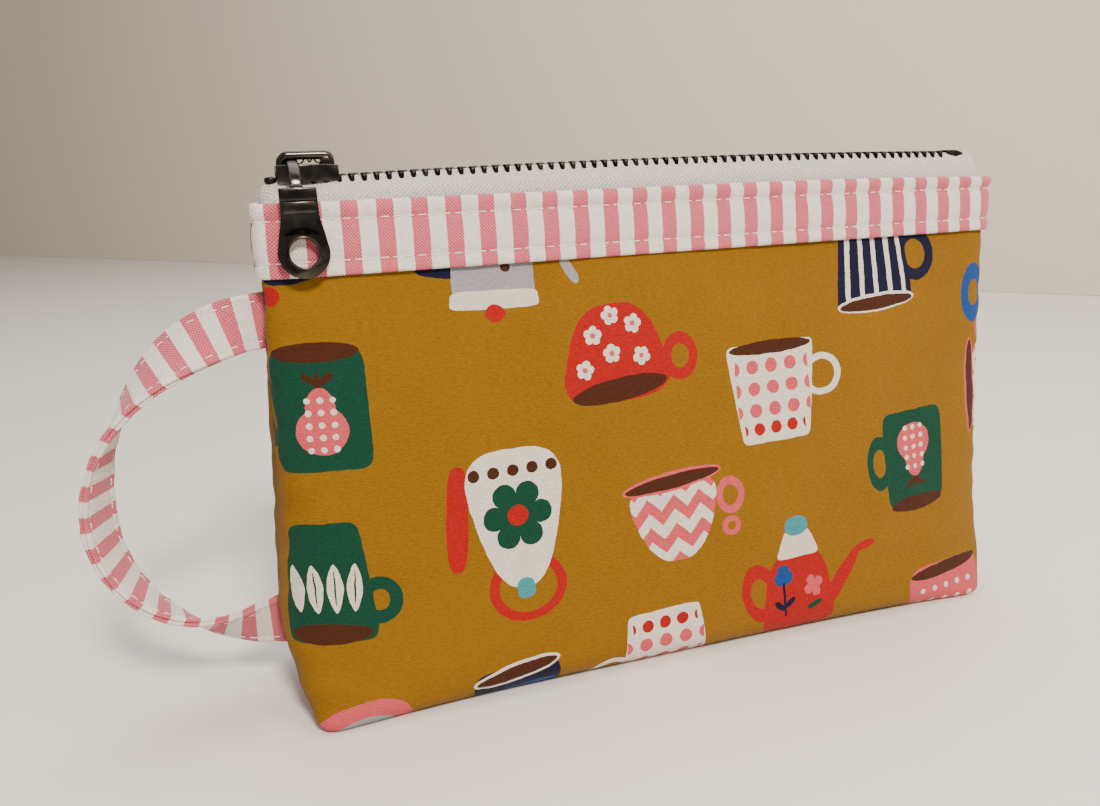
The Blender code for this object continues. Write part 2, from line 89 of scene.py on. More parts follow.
STITCH_LENGTH, STITCH_GAP, THREAD = 2.3, 0.6, 0.12
UPPER_STITCH, LOWER_STITCH, STITCH_OUTSET = 9.7, 18.6, 1.2

ZIP_TURN = Matrix.Rotation(-math.atan(RIDGE_SLOPE), 4, "Y")
ZIP_FRAME = Matrix.Translation((0, 0, HEIGHT * MM)) @ ZIP_TURN
SLIDER_FRAME = ZIP_FRAME @ Matrix.Translation((SLIDER_START * MM, 0, 0))
PIVOT_Y = -(LINK_BOW + LINK_RADIUS)
PIVOT_Z = -math.sqrt(LINK_RADIUS**2 - LINK_BOW**2) - LINK_DROP


# ------------------------------------------------------------------ meshes


def linear(hex_colour, alpha=1.0):
    """An sRGB hex colour as the linear values that shaders take."""
    parts = [int(hex_colour[index : index + 2], 16) / 255 for index in (1, 3, 5)]
    return (*(p / 12.92 if p <= 0.04045 else ((p + 0.055) / 1.055) ** 2.4 for p in parts), alpha)


def make_object(name, points, faces, uvs=None):
    """A new object from points in millimetres; uvs holds one pair in millimetres per point."""
    mesh = bpy.data.meshes.new(name)
    mesh.from_pydata([tuple(point) for point in np.asarray(points) * MM], [], faces)
    if uvs is not None:
        layer = mesh.uv_layers.new(name="Cloth")
        corners = np.empty(len(mesh.loops), np.int32)
        mesh.loops.foreach_get("vertex_index", corners)
        layer.uv.foreach_set("vector", (np.asarray(uvs)[corners] * MM).astype(np.float32).ravel())
    made = bpy.data.objects.new(name, mesh)
    bpy.context.scene.collection.objects.link(made)
    made.data.shade_smooth()
    return made


def pick(*objects):
    """Leaves only these objects selected, the first of them active."""
    if bpy.context.object and bpy.context.object.mode != "OBJECT":
        bpy.ops.object.mode_set(mode="OBJECT")
    bpy.ops.object.select_all(action="DESELECT")
    for each in objects:
        each.select_set(True)
    bpy.context.view_layer.objects.active = objects[0]
    return objects[0]


def apply_modifier(target, kind, **settings):
    """Adds a modifier with these settings and applies it."""
    pick(target)
    modifier = target.modifiers.new(kind.title(), kind)
    for key, value in settings.items():
        setattr(modifier, key, value)
    bpy.ops.object.modifier_apply(modifier=modifier.name)
    return target


def grid_faces(rows, columns, start=0, flip=False):
    """Quads of a grid whose points run row by row."""
    faces = []
    for row in range(rows - 1):
        for column in range(columns - 1):
            corner = start + row * columns + column
            face = (corner, corner + 1, corner + columns + 1, corner + columns)
            faces.append(face[::-1] if flip else face)
    return faces


def thicken(target, thickness, offset=-1.0):
    """Gives a sheet its thickness; offset -1 keeps the outer face where it is."""
    return apply_modifier(
        target, "SOLIDIFY", thickness=thickness * MM, offset=offset, use_even_offset=False
    )


def ripples(u, v, seed, long_wave, short_wave, count=9):
    """Smooth unevenness between -1 and 1, made of a few waves in mixed directions."""
    random = np.random.RandomState(seed)
    total = np.zeros(np.broadcast(u, v).shape)
    for _ in range(count):
        wave = random.uniform(short_wave, long_wave)
        turn, phase = random.uniform(0, math.pi), random.uniform(0, 2 * math.pi)
        along = u * math.cos(turn) + v * math.sin(turn)
        total += np.sin(2 * math.pi * along / wave + phase)
    return total / math.sqrt(count) / 1.6


def body_sizes(height):
    """Half width, half depth and squareness of the body at a height."""
    share = np.clip(height / GUSSET_HEIGHT, 0, 1)
    fall = np.clip(1 - (height - GUSSET_HEIGHT) / (HEIGHT - GUSSET_HEIGHT), 0, 1)
    low = (BASE_WIDTH + (GUSSET_WIDTH - BASE_WIDTH) * math.sin(math.pi / 2 * share)) / 2
    high = (TOP_WIDTH + (GUSSET_WIDTH - TOP_WIDTH) * fall**2) / 2
    wide = low if height < GUSSET_HEIGHT else high
    deep = (BASE_DEPTH + (RIDGE_DEPTH - BASE_DEPTH) * height / HEIGHT) / 2
    soft = share if height < GUSSET_HEIGHT else fall
    ends, gusset = 1 / SQUARENESS_AT_ENDS, 1 / SQUARENESS_AT_GUSSET
    return wide, deep, 1 / (ends + (gusset - ends) * soft)


class BodyWall:
    """The curved wall of one side of the body, from its left side seam to its right one."""

    def __init__(self, side, columns):
        self.side = side
        self.heights = np.linspace(0, HEIGHT + 4, 90)
        shares = np.linspace(0, 1, columns)
        places, outward, lengths = [], [], []
        for height in self.heights:
            wide, deep, power = body_sizes(float(height))
            turn = np.linspace(0, math.pi, 1441)
            across, along = -np.cos(turn), np.sin(turn)
            reach = (np.abs(across) ** power + np.abs(along) ** power) ** (-1 / power)
            x, y = wide * reach * across, deep * reach * along
            run = np.concatenate([[0], np.cumsum(np.hypot(np.diff(x), np.diff(y)))])
            at = shares * run[-1]
            x, y = np.interp(at, run, x), np.interp(at, run, y)
            tangent = np.stack([np.gradient(x, at), np.gradient(y, at)], 1)
            tangent /= np.linalg.norm(tangent, axis=1)[:, None]
            places.append(np.stack([x, y], 1))
            outward.append(np.stack([-tangent[:, 1], tangent[:, 0]], 1))
            lengths.append(at - run[-1] / 2)
        self.places, self.outward = np.array(places), np.array(outward)
        self.lengths = np.array(lengths)
        self.columns = np.arange(columns)

    def at(self, height, outset=0.0):
        """Points, and distances along the wall from its middle. The last axis of height is the
        wall's columns."""
        level = np.clip(height / self.heights[1], 0, len(self.heights) - 1.001)
        low = level.astype(int)
        share = level - low

        def between(table):
            part = share[..., None] if table.ndim == 3 else share
            return table[low, self.columns] * (1 - part) + table[low + 1, self.columns] * part

        flat = between(self.places) + between(self.outward) * np.asarray(outset)[..., None]
        depth = self.side * np.maximum(flat[..., 1], SEAM_HALF_GAP)
        return np.stack([flat[..., 0], depth, height], -1), between(self.lengths)

    def from_seam(self, spacing):
        """Rough distance of each column from its nearer side seam."""
        return np.minimum(self.columns, self.columns[::-1]) * spacing


def zip_height(x):
    return HEIGHT + RIDGE_SLOPE * x


def chain_bow(x):
    """How far the chain arches above the straight zip line."""
    return 0.7 - 1.3 * ((np.asarray(x) - 15) / 95) ** 2


# ------------------------------------------------------------------ printed body

PANEL_COLUMNS, WALL_ROWS, EDGE_ROWS, FLAP_ROWS = 170, 62, 6, 9


def base_radius(x):
    """The base edge is tight at the corners and rolls softly between them."""
    return 3.0 + 5.0 * np.clip(1 - (x / 96) ** 4, 0, 1)


def billow(u, v, seed):
    """How far the padded wall stands out from the plain body."""
    middle = np.clip(1 - (u / 112) ** 2, 0, 1) * np.clip(np.sin(np.pi * (v + 6) / 128), 0, 1)
    side = np.exp(-((np.abs(u) - 104) / 12) ** 2)
    low = np.exp(-((v - 8) / 14) ** 2)
    return (
        1.1 * middle
        + 0.55 * ripples(u, v * 0.7, seed, 95, 42)
        + 0.16 * ripples(u, v, seed + 1, 24, 11)
        + (0.4 * side + 0.2 * low) * ripples(u * 0.4, v, seed + 2, 13, 6)
    )


def wall_sheet(name, side, seed):
    """One main panel: a wall that wraps to both side seams and a flap under the base."""
    wall = BodyWall(side, PANEL_COLUMNS)
    radius = base_radius(wall.places[0, :, 0])
    top = zip_height(wall.places[40, :, 0]) - TAPE_BOTTOM - 2
    turn = np.linspace(0, math.pi / 2, EDGE_ROWS, endpoint=False)[:, None]
    climb = np.linspace(0, 1, WALL_ROWS + 1)[:, None]
    height = np.vstack([radius * (1 - np.cos(turn)), radius + (top - radius) * climb])
    outset = np.vstack([-radius * (1 - np.sin(turn)), np.zeros((WALL_ROWS + 1, PANEL_COLUMNS))])
    _, u = wall.at(height)
    seam = wall.from_seam(1.45)
    hold = np.minimum(1, height / 9) * np.minimum(1, np.maximum(0, (top - height) / 8) + 0.25)
    outset = outset + billow(u, height, seed) * hold * np.minimum(1, seam / 6 + 0.1)
    outset -= 0.7 * np.exp(-((seam / 2.0) ** 2))
    places, u = wall.at(height, outset)
    points = [tuple(place) for place in places.reshape(-1, 3)]
    uvs = list(zip(u.ravel(), height.ravel()))
    rows = EDGE_ROWS + WALL_ROWS + 1
    corner = [c for c in range(PANEL_COLUMNS) if abs(points[c][1]) > BASE_DEPTH / 2 - 6.5]
    first, last = corner[0], corner[-1]
    faces = grid_faces(rows, PANEL_COLUMNS, flip=side > 0)
    flap_columns = last - first + 1
    start = len(points)
    for row in range(1, FLAP_ROWS + 1):
        share = row / FLAP_ROWS
        for column in range(first, last + 1):
            x, y, _ = points[column]
            lift = 0.25 * math.sin(math.pi * share) * (1 - (x / 110) ** 2)
            points.append((x, y + (side * SEAM_HALF_GAP - y) * share, lift))
            uvs.append((uvs[column][0], -abs(y) * share))
    for row in range(FLAP_ROWS):
        for index in range(flap_columns - 1):
            low = start + row * flap_columns + index
            high = (first + index) if row == 0 else low - flap_columns
            face = (low, low + 1, high + 1, high)
            faces.append(face[::-1] if side > 0 else face)
    return make_object(name, points, faces, uvs)


# ------------------------------------------------------------------ materials


def add_node(tree, kind, settings=None, **inputs):
    """Adds a node with its settings. An input is a value or a socket to link; in its name an
    underscore stands for a space, and a name such as n1 is the input's number."""
    made = tree.nodes.new("ShaderNode" + kind)
    for key, value in (settings or {}).items():
        setattr(made, key, value)
    for key, value in inputs.items():
        number = key[1:].isdigit() and key[0] == "n"
        socket = made.inputs[int(key[1:]) if number else key.replace("_", " ")]
        if isinstance(value, bpy.types.NodeSocket):
            tree.links.new(value, socket)
        else:
            socket.default_value = value
    return made


def new_material(name, colour="#808080", **constants):
    """A material with its shader; constants are set on the shader's own sockets."""
    material = bpy.data.materials.new(name)
    material.use_nodes = True
    shader = material.node_tree.nodes["Principled BSDF"]
    shader.inputs["Base Color"].default_value = linear(colour)
    for key, value in constants.items():
        shader.inputs[key.replace("_", " ")].default_value = value
    material.diffuse_color = linear(colour)
    return material, material.node_tree, shader


def cloth_place(tree):
    """The sheet's own coordinates in millimetres, as one vector and as its two parts."""
    uv = add_node(tree, "UVMap", {"uv_map": "Cloth"}).outputs[0]
    place = add_node(tree, "VectorMath", {"operation": "SCALE"}, n0=uv, Scale=1000.0).outputs[0]
    parts = add_node(tree, "SeparateXYZ", n0=place)
    return place, parts.outputs[0], parts.outputs[1]


def plain_weave(tree, u, v, pitch):
    """Height of a plain weave: yarns pass over and under each other every half pitch."""
    waves = []
    for part in (u, v):
        turned = add_node(tree, "Math", {"operation": "MULTIPLY"}, n0=part, n1=2 * math.pi / pitch)
        wave = add_node(tree, "Math", {"operation": "SINE"}, n0=turned.outputs[0])
        waves.append(wave.outputs[0])
    both = add_node(tree, "Math", {"operation": "MULTIPLY"}, n0=waves[0], n1=waves[1])
    return add_node(
        tree, "Math", {"operation": "MULTIPLY_ADD"}, n0=both.outputs[0], n1=0.5, n2=0.5
    ).outputs[0]


def slubs(tree, place, across, along):
    """Thick and thin yarns: noise drawn out along one thread direction."""
    drawn = add_node(
        tree, "Mapping", {"vector_type": "POINT"}, Vector=place, Scale=(1 / across, 1 / along, 1.0)
    )
    return add_node(tree, "TexNoise", Vector=drawn.outputs[0], Scale=1.0, Detail=2.0).outputs[0]


def finish_cloth(tree, shader, colour, height, bump, shade):
    """Paints shade into the valleys of the weave, darkening the colour where the height is low,
    and raises its yarns with a bump.
    """
    # Painted shade: the colour is scaled down by up to the shade amount where the weave and slubs
    # are low.
    valley_shade = add_node(
        tree, "MapRange", n0=height, From_Min=0.0, From_Max=1.0, To_Min=1 - shade, To_Max=1.0
    )
    shaded = add_node(
        tree, "VectorMath", {"operation": "SCALE"}, n0=colour, Scale=valley_shade.outputs[0]
    )
    tree.links.new(shaded.outputs[0], shader.inputs["Base Color"])
    raised = add_node(tree, "Bump", Height=height, Strength=0.7, Distance=bump * MM)
    tree.links.new(raised.outputs[0], shader.inputs["Normal"])


PRINT_COLOURS = {
    "red": "#A61412", "green": "#06402F", "brown": "#43200F", "cream": "#DDD3C6",
    "navy": "#0F1030", "teal": "#3C8C99", "blue": "#144488", "grey": "#98979E",
    "salmon": "#CC515B", "white": "#E0D8CE",
}

# Each motif is a list of patches, painted in order. A patch is (shape, colour, centre, half size,
# and, where it has them, taper, power or thickness, turn in degrees), in millimetres from the
# motif's centre. Shapes: patch is a soft-cornered, tapered block or an oval; hoop is its outline;
# bloom is a flower with that many petals; dots is a square array cut to a patch; zigzag likewise.
MOTIFS = {
    "pear_mug": [
        ("hoop", "green", (13.0, -1.5), (4.6, 8.2), 0, 0.26, 0),
        ("patch", "green", (0, -1.0), (10.9, 14.2), 0.03, 9, 0),
        ("patch", "brown", (0, 12.6), (9.8, 2.3), 0, 2, 0),
        ("patch", "brown", (0.2, 5.6), (0.7, 2.4), 0, 2, 0),
        ("patch", "brown", (-1.7, 6.4), (2.1, 0.8), 0, 2, -35),
        ("patch", "brown", (2.0, 6.4), (2.1, 0.8), 0, 2, 35),
        ("patch", "salmon", (0, -5.6), (6.0, 5.7), 0, 2, 0),
        ("patch", "salmon", (0, -0.8), (3.4, 5.4), 0, 2, 0),
        ("dots", "white", (0, -4.2), (4.9, 7.0), 2.9, 0.75, 0),
    ],
    "leaf_mug": [
        ("hoop", "green", (11.0, -5.2), (5.6, 5.8), 0, 0.3, 0),
        ("patch", "green", (-1.0, 0), (10.0, 14.2), 0.16, 9, 0),
        ("patch", "brown", (-1.0, -12.3), (9.8, 2.3), 0, 2, 0),
        ("patch", "cream", (-8.4, -1.6), (1.9, 5.8), 0, 1.5, 6),
        ("patch", "cream", (-3.9, -1.6), (2.0, 6.0), 0, 1.5, 3),
        ("patch", "cream", (0.8, -1.6), (2.0, 6.0), 0, 1.5, 0),
        ("patch", "cream", (5.4, -1.6), (1.9, 5.8), 0, 1.5, -4),
        ("patch", "green", (-3.9, -1.6), (0.22, 4.4), 0, 2, 3),
        ("patch", "green", (0.8, -1.6), (0.22, 4.4), 0, 2, 0),
        ("patch", "green", (5.4, -1.6), (0.22, 4.2), 0, 2, -4),
    ],
    "bowl_cup": [
        ("hoop", "red", (18.2, -4.0), (5.4, 6.4), 0, 0.27, 0),
        ("patch", "red", (0, -0.5), (13.4, 12.4), 0.3, 3.2, 0),
        ("patch", "brown", (0.2, -9.8), (13.4, 3.0), 0, 2, 3),
        ("bloom", "white", (-9.0, -3.6), (2.0, 5), 0, 0.24, 0),
        ("bloom", "white", (-1.2, -0.4), (2.0, 5), 0, 0.24, 20),
        ("bloom", "white", (7.0, -2.2), (2.0, 5), 0, 0.24, 50),
        ("bloom", "white", (-5.8, 4.6), (2.0, 5), 0, 0.24, 10),
        ("bloom", "white", (-0.4, 9.0), (2.0, 5), 0, 0.24, 30),
        ("bloom", "white", (5.6, 6.2), (2.0, 5), 0, 0.24, 0),
        ("patch", "salmon", (-9.0, -3.6), (0.7, 0.7), 0, 2, 0),
        ("patch", "salmon", (-1.2, -0.4), (0.7, 0.7), 0, 2, 0),
        ("patch", "salmon", (7.0, -2.2), (0.7, 0.7), 0, 2, 0),
        ("patch", "salmon", (-5.8, 4.6), (0.7, 0.7), 0, 2, 0),
        ("patch", "salmon", (-0.4, 9.0), (0.7, 0.7), 0, 2, 0),
        ("patch", "salmon", (5.6, 6.2), (0.7, 0.7), 0, 2, 0),
    ],
    "dotted_mug": [
        ("hoop", "white", (15.6, 2.8), (6.6, 5.9), 0, 0.17, 0),
        ("patch", "white", (0, 0), (12.2, 13.4), -0.13, 16, 0),
        ("patch", "brown", (0.1, 12.2), (12.8, 1.8), 0, 2, 0),
        ("dots", "salmon", (0, 1.4), (11.4, 8.2), 5.9, 1.9, 0),
        ("dots", "red", (-0.2, -9.6), (9.6, 1.9), 5.2, 1.7, 0),
    ],
    "striped_mug": [
        ("hoop", "navy", (14.8, 3.6), (7.0, 7.6), 0, 0.24, 12),
        ("patch", "navy", (0, 3.2), (11.7, 12.6), 0.13, 16, 0),
        ("patch", "white", (-8.6, 3.4), (0.8, 11.0), 0, 9, -4),
        ("patch", "white", (-4.0, 3.4), (0.8, 11.0), 0, 9, -2),
        ("patch", "white", (0.6, 3.4), (0.8, 11.0), 0, 9, 0),
        ("patch", "white", (5.2, 3.4), (0.8, 11.0), 0, 9, 2),
        ("patch", "white", (9.4, 3.4), (0.7, 11.0), 0, 9, 5),
        ("patch", "white", (0.2, -8.4), (13.4, 2.5), 0, 2, 2),
        ("patch", "brown", (0.2, -8.6), (12.6, 1.8), 0, 2, 2),
    ],
    "flower_jug": [
        ("patch", "red", (-15.2, 1.6), (2.7, 13.0), 0, 3.2, -7),
        ("hoop", "red", (0.6, -18.4), (10.4, 8.8), 0, 0.14, 0),
        ("patch", "white", (0, -0.6), (11.0, 17.6), -0.36, 3.0, 0),
        ("dots", "brown", (0, 11.6), (12.9, 1.6), 5.0, 1.5, 0),
        ("bloom", "green", (0, 0.2), (7.1, 6), 0, 0.26, 0),
        ("patch", "red", (0, 0.2), (2.7, 2.7), 0, 2, 0),
        ("patch", "teal", (0, -18.6), (2.3, 2.6), 0, 3, 0),
    ],
    "zigzag_cup": [
        ("hoop", "salmon", (15.6, 2.6), (4.4, 5.2), 0, 0.24, 0),
        ("hoop", "salmon", (15.0, -5.8), (3.0, 2.8), 0, 0.3, 0),
        ("patch", "salmon", (-1.2, -0.4), (11.6, 11.4), -0.33, 2.8, 0),
        ("zigzag", "white", (-1.2, -0.4), (11.6, 11.4), 7.6, 0.5, 0),
        ("patch", "salmon", (-1.0, 9.6), (14.8, 2.6), 0, 2, 3),
        ("patch", "brown", (-1.0, 9.5), (14.0, 1.8), 0, 2, 3),
    ],
    "teapot": [
        ("hoop", "red", (-12.4, 0.2), (5.8, 9.0), 0, 0.26, 12),
        ("patch", "red", (15.4, 0.2), (2.2, 9.2), 0.3, 2.4, -38),
        ("patch", "red", (23.0, 7.0), (3.8, 1.2), 0, 2.4, 10),
        ("patch", "red", (0, -3.0), (11.0, 13.0), 0.16, 3.4, 0),
        ("patch", "cream", (0.4, 12.4), (5.6, 4.0), 0.3, 6, 0),
        ("patch", "teal", (0.4, 17.4), (3.7, 2.7), 0, 2.4, 0),
        ("bloom", "blue", (-4.6, 3.6), (2.6, 3), 0, 0.22, 90),
        ("patch", "navy", (-4.6, -3.4), (0.4, 5.0), 0, 6, 0),
        ("patch", "navy", (-2.9, -4.4), (2.0, 0.9), 0, 2, 40),
        ("patch", "navy", (-6.2, -5.0), (2.0, 0.9), 0, 2, -40),
        ("bloom", "salmon", (5.0, -1.0), (2.3, 4), 0, 0.45, 25),
        ("patch", "green", (5.0, -6.6), (2.6, 0.9), 0, 2, 20),
    ],
    "plain_cup": [
        ("patch", "salmon", (0, -5.0), (13.4, 11.4), -0.16, 4, 0),
        ("patch", "brown", (0, 4.2), (13.6, 2.0), 0, 2, 3),
        ("dots", "white", (0, -6.0), (11.5, 6.5), 4.6, 0.9, 0),
    ],
    "navy_cup": [
        ("patch", "navy", (0, -5.4), (10.8, 10.4), -0.14, 5, 0),
        ("patch", "cream", (0, 3.2), (11.8, 2.5), 0, 2, 6),
        ("patch", "brown", (0, 3.1), (10.9, 1.7), 0, 2, 6),
        ("patch", "blue", (1.0, -3.0), (9.4, 1.6), 0, 2, 6),
    ],
    "grey_jug": [
        ("patch", "navy", (-13.5, 4.6), (5.6, 2.5), 0, 3, -8),
        ("patch", "grey", (19.6, 2.6), (1.3, 3.8), 0, 2.4, 32),
        ("patch", "grey", (0, 4.4), (10.3, 7.6), 0.02, 10, 0),
        ("patch", "cream", (0, -3.6), (11.2, 2.2), 0.02, 6, 0),
        ("patch", "brown", (3.2, 3.8), (1.3, 1.1), 0, 2, 0),
        ("patch", "red", (-0.2, -6.9), (2.5, 2.1), 0, 2, 0),
    ],
    "corner_piece": [
        ("patch", "salmon", (0, 0), (12.5, 7.5), 0, 2.4, 12),
        ("patch", "grey", (0.5, -0.4), (7.6, 4.2), 0, 2, 12),
    ],
    "edge_dot": [
        ("patch", "navy", (5.0, 3.8), (6.4, 1.9), 0, 2, 10),
        ("patch", "red", (-0.4, -0.8), (2.3, 2.2), 0, 2, 0),
    ],
    "curl": [("hoop", "blue", (0, 0), (5.4, 9.0), 0, 0.3, 0)],
}

# Where each motif lies on the panel: centre in millimetres, turn in degrees, mirrored or not.
PRINT_LAYOUT = [
    ("pear_mug", (-93.2, 78.0), 0, -1), ("pear_mug", (75.0, 45.6), 184, 1),
    ("leaf_mug", (-94.6, 36.2), 0, 1), ("bowl_cup", (-19.6, 85.4), 4, 1),
    ("dotted_mug", (26.9, 70.6), 3, 1), ("dotted_mug", (-9.0, 2.8), 183, 1),
    ("striped_mug", (61.3, 101.0), 3, 1), ("flower_jug", (-48.4, 47.0), 3, 1),
    ("zigzag_cup", (-3.6, 40.6), 4, 1), ("teapot", (32.6, 15.4), 3, 1),
    ("plain_cup", (86.0, 7.6), 3, 1), ("navy_cup", (-51.0, 4.0), 4, 1),
    ("grey_jug", (-50.2, 103.6), 0, 1), ("corner_piece", (-90.5, -0.5), 0, 1),
    ("edge_dot", (-101.6, 104.2), 0, 1), ("curl", (98.8, 93.0), 0, 1),
    ("zigzag_cup", (108.0, 66.0), 90, 1),
]
PRINT_PERIOD = np.array([250.0, 128.0])
PRINT_LOW = np.array([-125.0, -14.0])
PRINT_CELLS = (5, 2)
MOTIF_REACH = 26.0


# How each printed shape tells what lies inside it. A step names a value, the operation that
# makes it and its inputs, which are numbers or earlier values. At the start "moved" is the place
# seen from the shape's centre and "scaled" the same in half sizes; "far" is a length.
SHAPE_STEPS = {
    "bloom": (
        ("turn", "ARCTAN2", "moved_y", "moved_x"), ("waves", "MULTIPLY", "half_y", 0.5),
        ("angle", "MULTIPLY", "turn", "waves"), ("wave", "COSINE", "angle"),
        ("rise", "ABSOLUTE", "wave"), ("root", "SQRT", "rise"), ("tip", "SUBTRACT", "root", 0.5),
        ("depth", "MULTIPLY", "power", 2.0), ("edge", "MULTIPLY_ADD", "tip", "depth", 1.0),
        ("reach", "MULTIPLY", "edge", "half_x"), ("inside", "LESS_THAN", "moved_far", "reach"),
    ),
    "hoop": (
        ("middle", "SUBTRACT", 1.0, "power"), ("off", "SUBTRACT", "scaled_far", "middle"),
        ("gap", "ABSOLUTE", "off"), ("wire", "MULTIPLY", "power", 0.9),
        ("inside", "LESS_THAN", "gap", "wire"),
    ),
    "patch": (
        ("lean", "MULTIPLY", "scaled_y", -1.0), ("wide", "MULTIPLY_ADD", "lean", "taper", 1.0),
        ("across", "DIVIDE", "scaled_x", "wide"), ("flat_x", "ABSOLUTE", "across"),
        ("x", "POWER", "flat_x", "power"), ("flat_y", "ABSOLUTE", "scaled_y"),
        ("y", "POWER", "flat_y", "power"), ("both", "ADD", "x", "y"),
        ("inside", "LESS_THAN", "both", 1.0),
    ),
    "zigzag": (
        ("half_run", "MULTIPLY", "taper", 0.5), ("tooth", "PINGPONG", "moved_x", "half_run"),
        ("climb", "ADD", "moved_y", "tooth"), ("lifted", "ADD", "climb", 100.0),
        ("run", "MODULO", "lifted", "taper"), ("stripe", "MULTIPLY", "taper", "power"),
        ("band", "LESS_THAN", "run", "stripe"), ("wide", "MULTIPLY_ADD", "scaled_y", 0.33, 1.0),
        ("across", "DIVIDE", "scaled_x", "wide"), ("flat_x", "ABSOLUTE", "across"),
        ("x", "POWER", "flat_x", 2.8), ("flat_y", "ABSOLUTE", "scaled_y"),
        ("y", "POWER", "flat_y", 2.8), ("both", "ADD", "x", "y"),
        ("cup", "LESS_THAN", "both", 1.0), ("inside", "MULTIPLY", "band", "cup"),
    ),
    "dots": (
        ("column", "DIVIDE", "moved_x", "taper"), ("near_x", "ROUND", "column"),
        ("dot_x", "MULTIPLY", "near_x", "taper"), ("off_x", "SUBTRACT", "moved_x", "dot_x"),
        ("row", "DIVIDE", "moved_y", "taper"), ("near_y", "ROUND", "row"),
        ("dot_y", "MULTIPLY", "near_y", "taper"), ("off_y", "SUBTRACT", "moved_y", "dot_y"),
        ("square_x", "MULTIPLY", "off_x", "off_x"), ("square_y", "MULTIPLY", "off_y", "off_y"),
        ("both", "ADD", "square_x", "square_y"), ("away", "SQRT", "both"),
        ("dot", "LESS_THAN", "away", "power"), ("flat_x", "ABSOLUTE", "scaled_x"),
        ("flat_y", "ABSOLUTE", "scaled_y"), ("edge", "MAXIMUM", "flat_x", "flat_y"),
        ("field", "LESS_THAN", "edge", 1.0), ("inside", "MULTIPLY", "dot", "field"),
    ),
}


def shape_group(kind):
    """A node group that says which places lie inside one printed shape."""
    tree = bpy.data.node_groups.new("print " + kind, "ShaderNodeTree")
    for index, name in enumerate(("Place", "Centre", "Half", "Taper", "Power", "Turn")):
        socket = "NodeSocketVector" if index < 3 else "NodeSocketFloat"
        tree.interface.new_socket(name, in_out="INPUT", socket_type=socket)
    tree.interface.new_socket("Inside", in_out="OUTPUT", socket_type="NodeSocketFloat")
    given = tree.nodes.new("NodeGroupInput").outputs
    moved = add_node(
        tree, "VectorMath", {"operation": "SUBTRACT"}, n0=given["Place"], n1=given["Centre"]
    ).outputs[0]
    moved = add_node(
        tree, "VectorRotate", {"rotation_type": "Z_AXIS"}, Vector=moved, Angle=given["Turn"]
    ).outputs[0]
    scaled = add_node(
        tree, "VectorMath", {"operation": "DIVIDE"}, n0=moved, n1=given["Half"]
    ).outputs[0]
    known = {"taper": given["Taper"], "power": given["Power"]}
    for name, vector in (("moved", moved), ("scaled", scaled), ("half", given["Half"])):
        parts = add_node(tree, "SeparateXYZ", n0=vector).outputs
        far = add_node(tree, "VectorMath", {"operation": "LENGTH"}, n0=vector).outputs["Value"]
        known |= {name + "_x": parts[0], name + "_y": parts[1], name + "_far": far}
    for name, operation, *sources in SHAPE_STEPS[kind]:
        inputs = {f"n{index}": known.get(source, source) for index, source in enumerate(sources)}
        known[name] = add_node(tree, "Math", {"operation": operation}, **inputs).outputs[0]
    tree.links.new(known["inside"], tree.nodes.new("NodeGroupOutput").inputs[0])
    return tree


def motif_group(name, shapes):
    """A node group that paints one motif: its colour, and where it covers the cloth."""
    tree = bpy.data.node_groups.new("motif " + name, "ShaderNodeTree")
    tree.interface.new_socket("Place", in_out="INPUT", socket_type="NodeSocketVector")
    tree.interface.new_socket("Ground", in_out="INPUT", socket_type="NodeSocketColor")
    tree.interface.new_socket("Colour", in_out="OUTPUT", socket_type="NodeSocketColor")
    given = tree.nodes.new("NodeGroupInput").outputs
    colour = given["Ground"]
    for kind, paint, centre, half, taper, power, turn in MOTIFS[name]:
        inside = add_node(
            tree, "Group", {"node_tree": shapes[kind]}, Place=given["Place"],
            Centre=(*centre, 0.0), Half=(*half, 1.0), Taper=float(taper), Power=float(power),
            Turn=-math.radians(turn),
        ).outputs[0]
        colour = add_node(
            tree, "Mix", {"data_type": "RGBA"}, n0=inside, n6=colour,
            n7=linear(PRINT_COLOURS[paint]),
        ).outputs[2]
    result = tree.nodes.new("NodeGroupOutput").inputs[0]
    tree.links.new(colour, result)
    return tree


def place_print(panel, shift, materials):
    """Moves the panel's cloth coordinates into one repeat of the print, face by face, and gives
    each face the material that holds the motifs near it."""
    mesh = panel.data
    uv = np.empty(len(mesh.loops) * 2, np.float32)
    mesh.uv_layers["Cloth"].uv.foreach_get("vector", uv)
    uv = uv.reshape(-1, 2) / MM + np.array(shift)
    first, total = np.empty(len(mesh.polygons), np.int32), np.empty(len(mesh.polygons), np.int32)
    mesh.polygons.foreach_get("loop_start", first)
    mesh.polygons.foreach_get("loop_total", total)
    middle = np.add.reduceat(uv, first) / total[:, None]
    turns = np.floor((middle - PRINT_LOW) / PRINT_PERIOD) * PRINT_PERIOD
    uv -= np.repeat(turns, total, axis=0)
    mesh.uv_layers["Cloth"].uv.foreach_set("vector", (uv * MM).astype(np.float32).ravel())
    cell = ((middle - turns - PRINT_LOW) / PRINT_PERIOD * PRINT_CELLS).astype(int)
    cell = np.minimum(cell, np.array(PRINT_CELLS) - 1)
    mesh.materials.clear()
    for material in materials:
        mesh.materials.append(material)
    mesh.polygons.foreach_set("material_index", cell[:, 0] * PRINT_CELLS[1] + cell[:, 1])


def motifs_near(column, row):
    """The motifs that can reach one cell of the print."""
    size = PRINT_PERIOD / PRINT_CELLS
    low = PRINT_LOW + size * (column, row)
    near = []
    for motif in PRINT_LAYOUT:
        off = np.maximum(np.maximum(low - motif[1], motif[1] - low - size), 0)
        if np.hypot(*off) < MOTIF_REACH:
            near.append(motif)
    return near


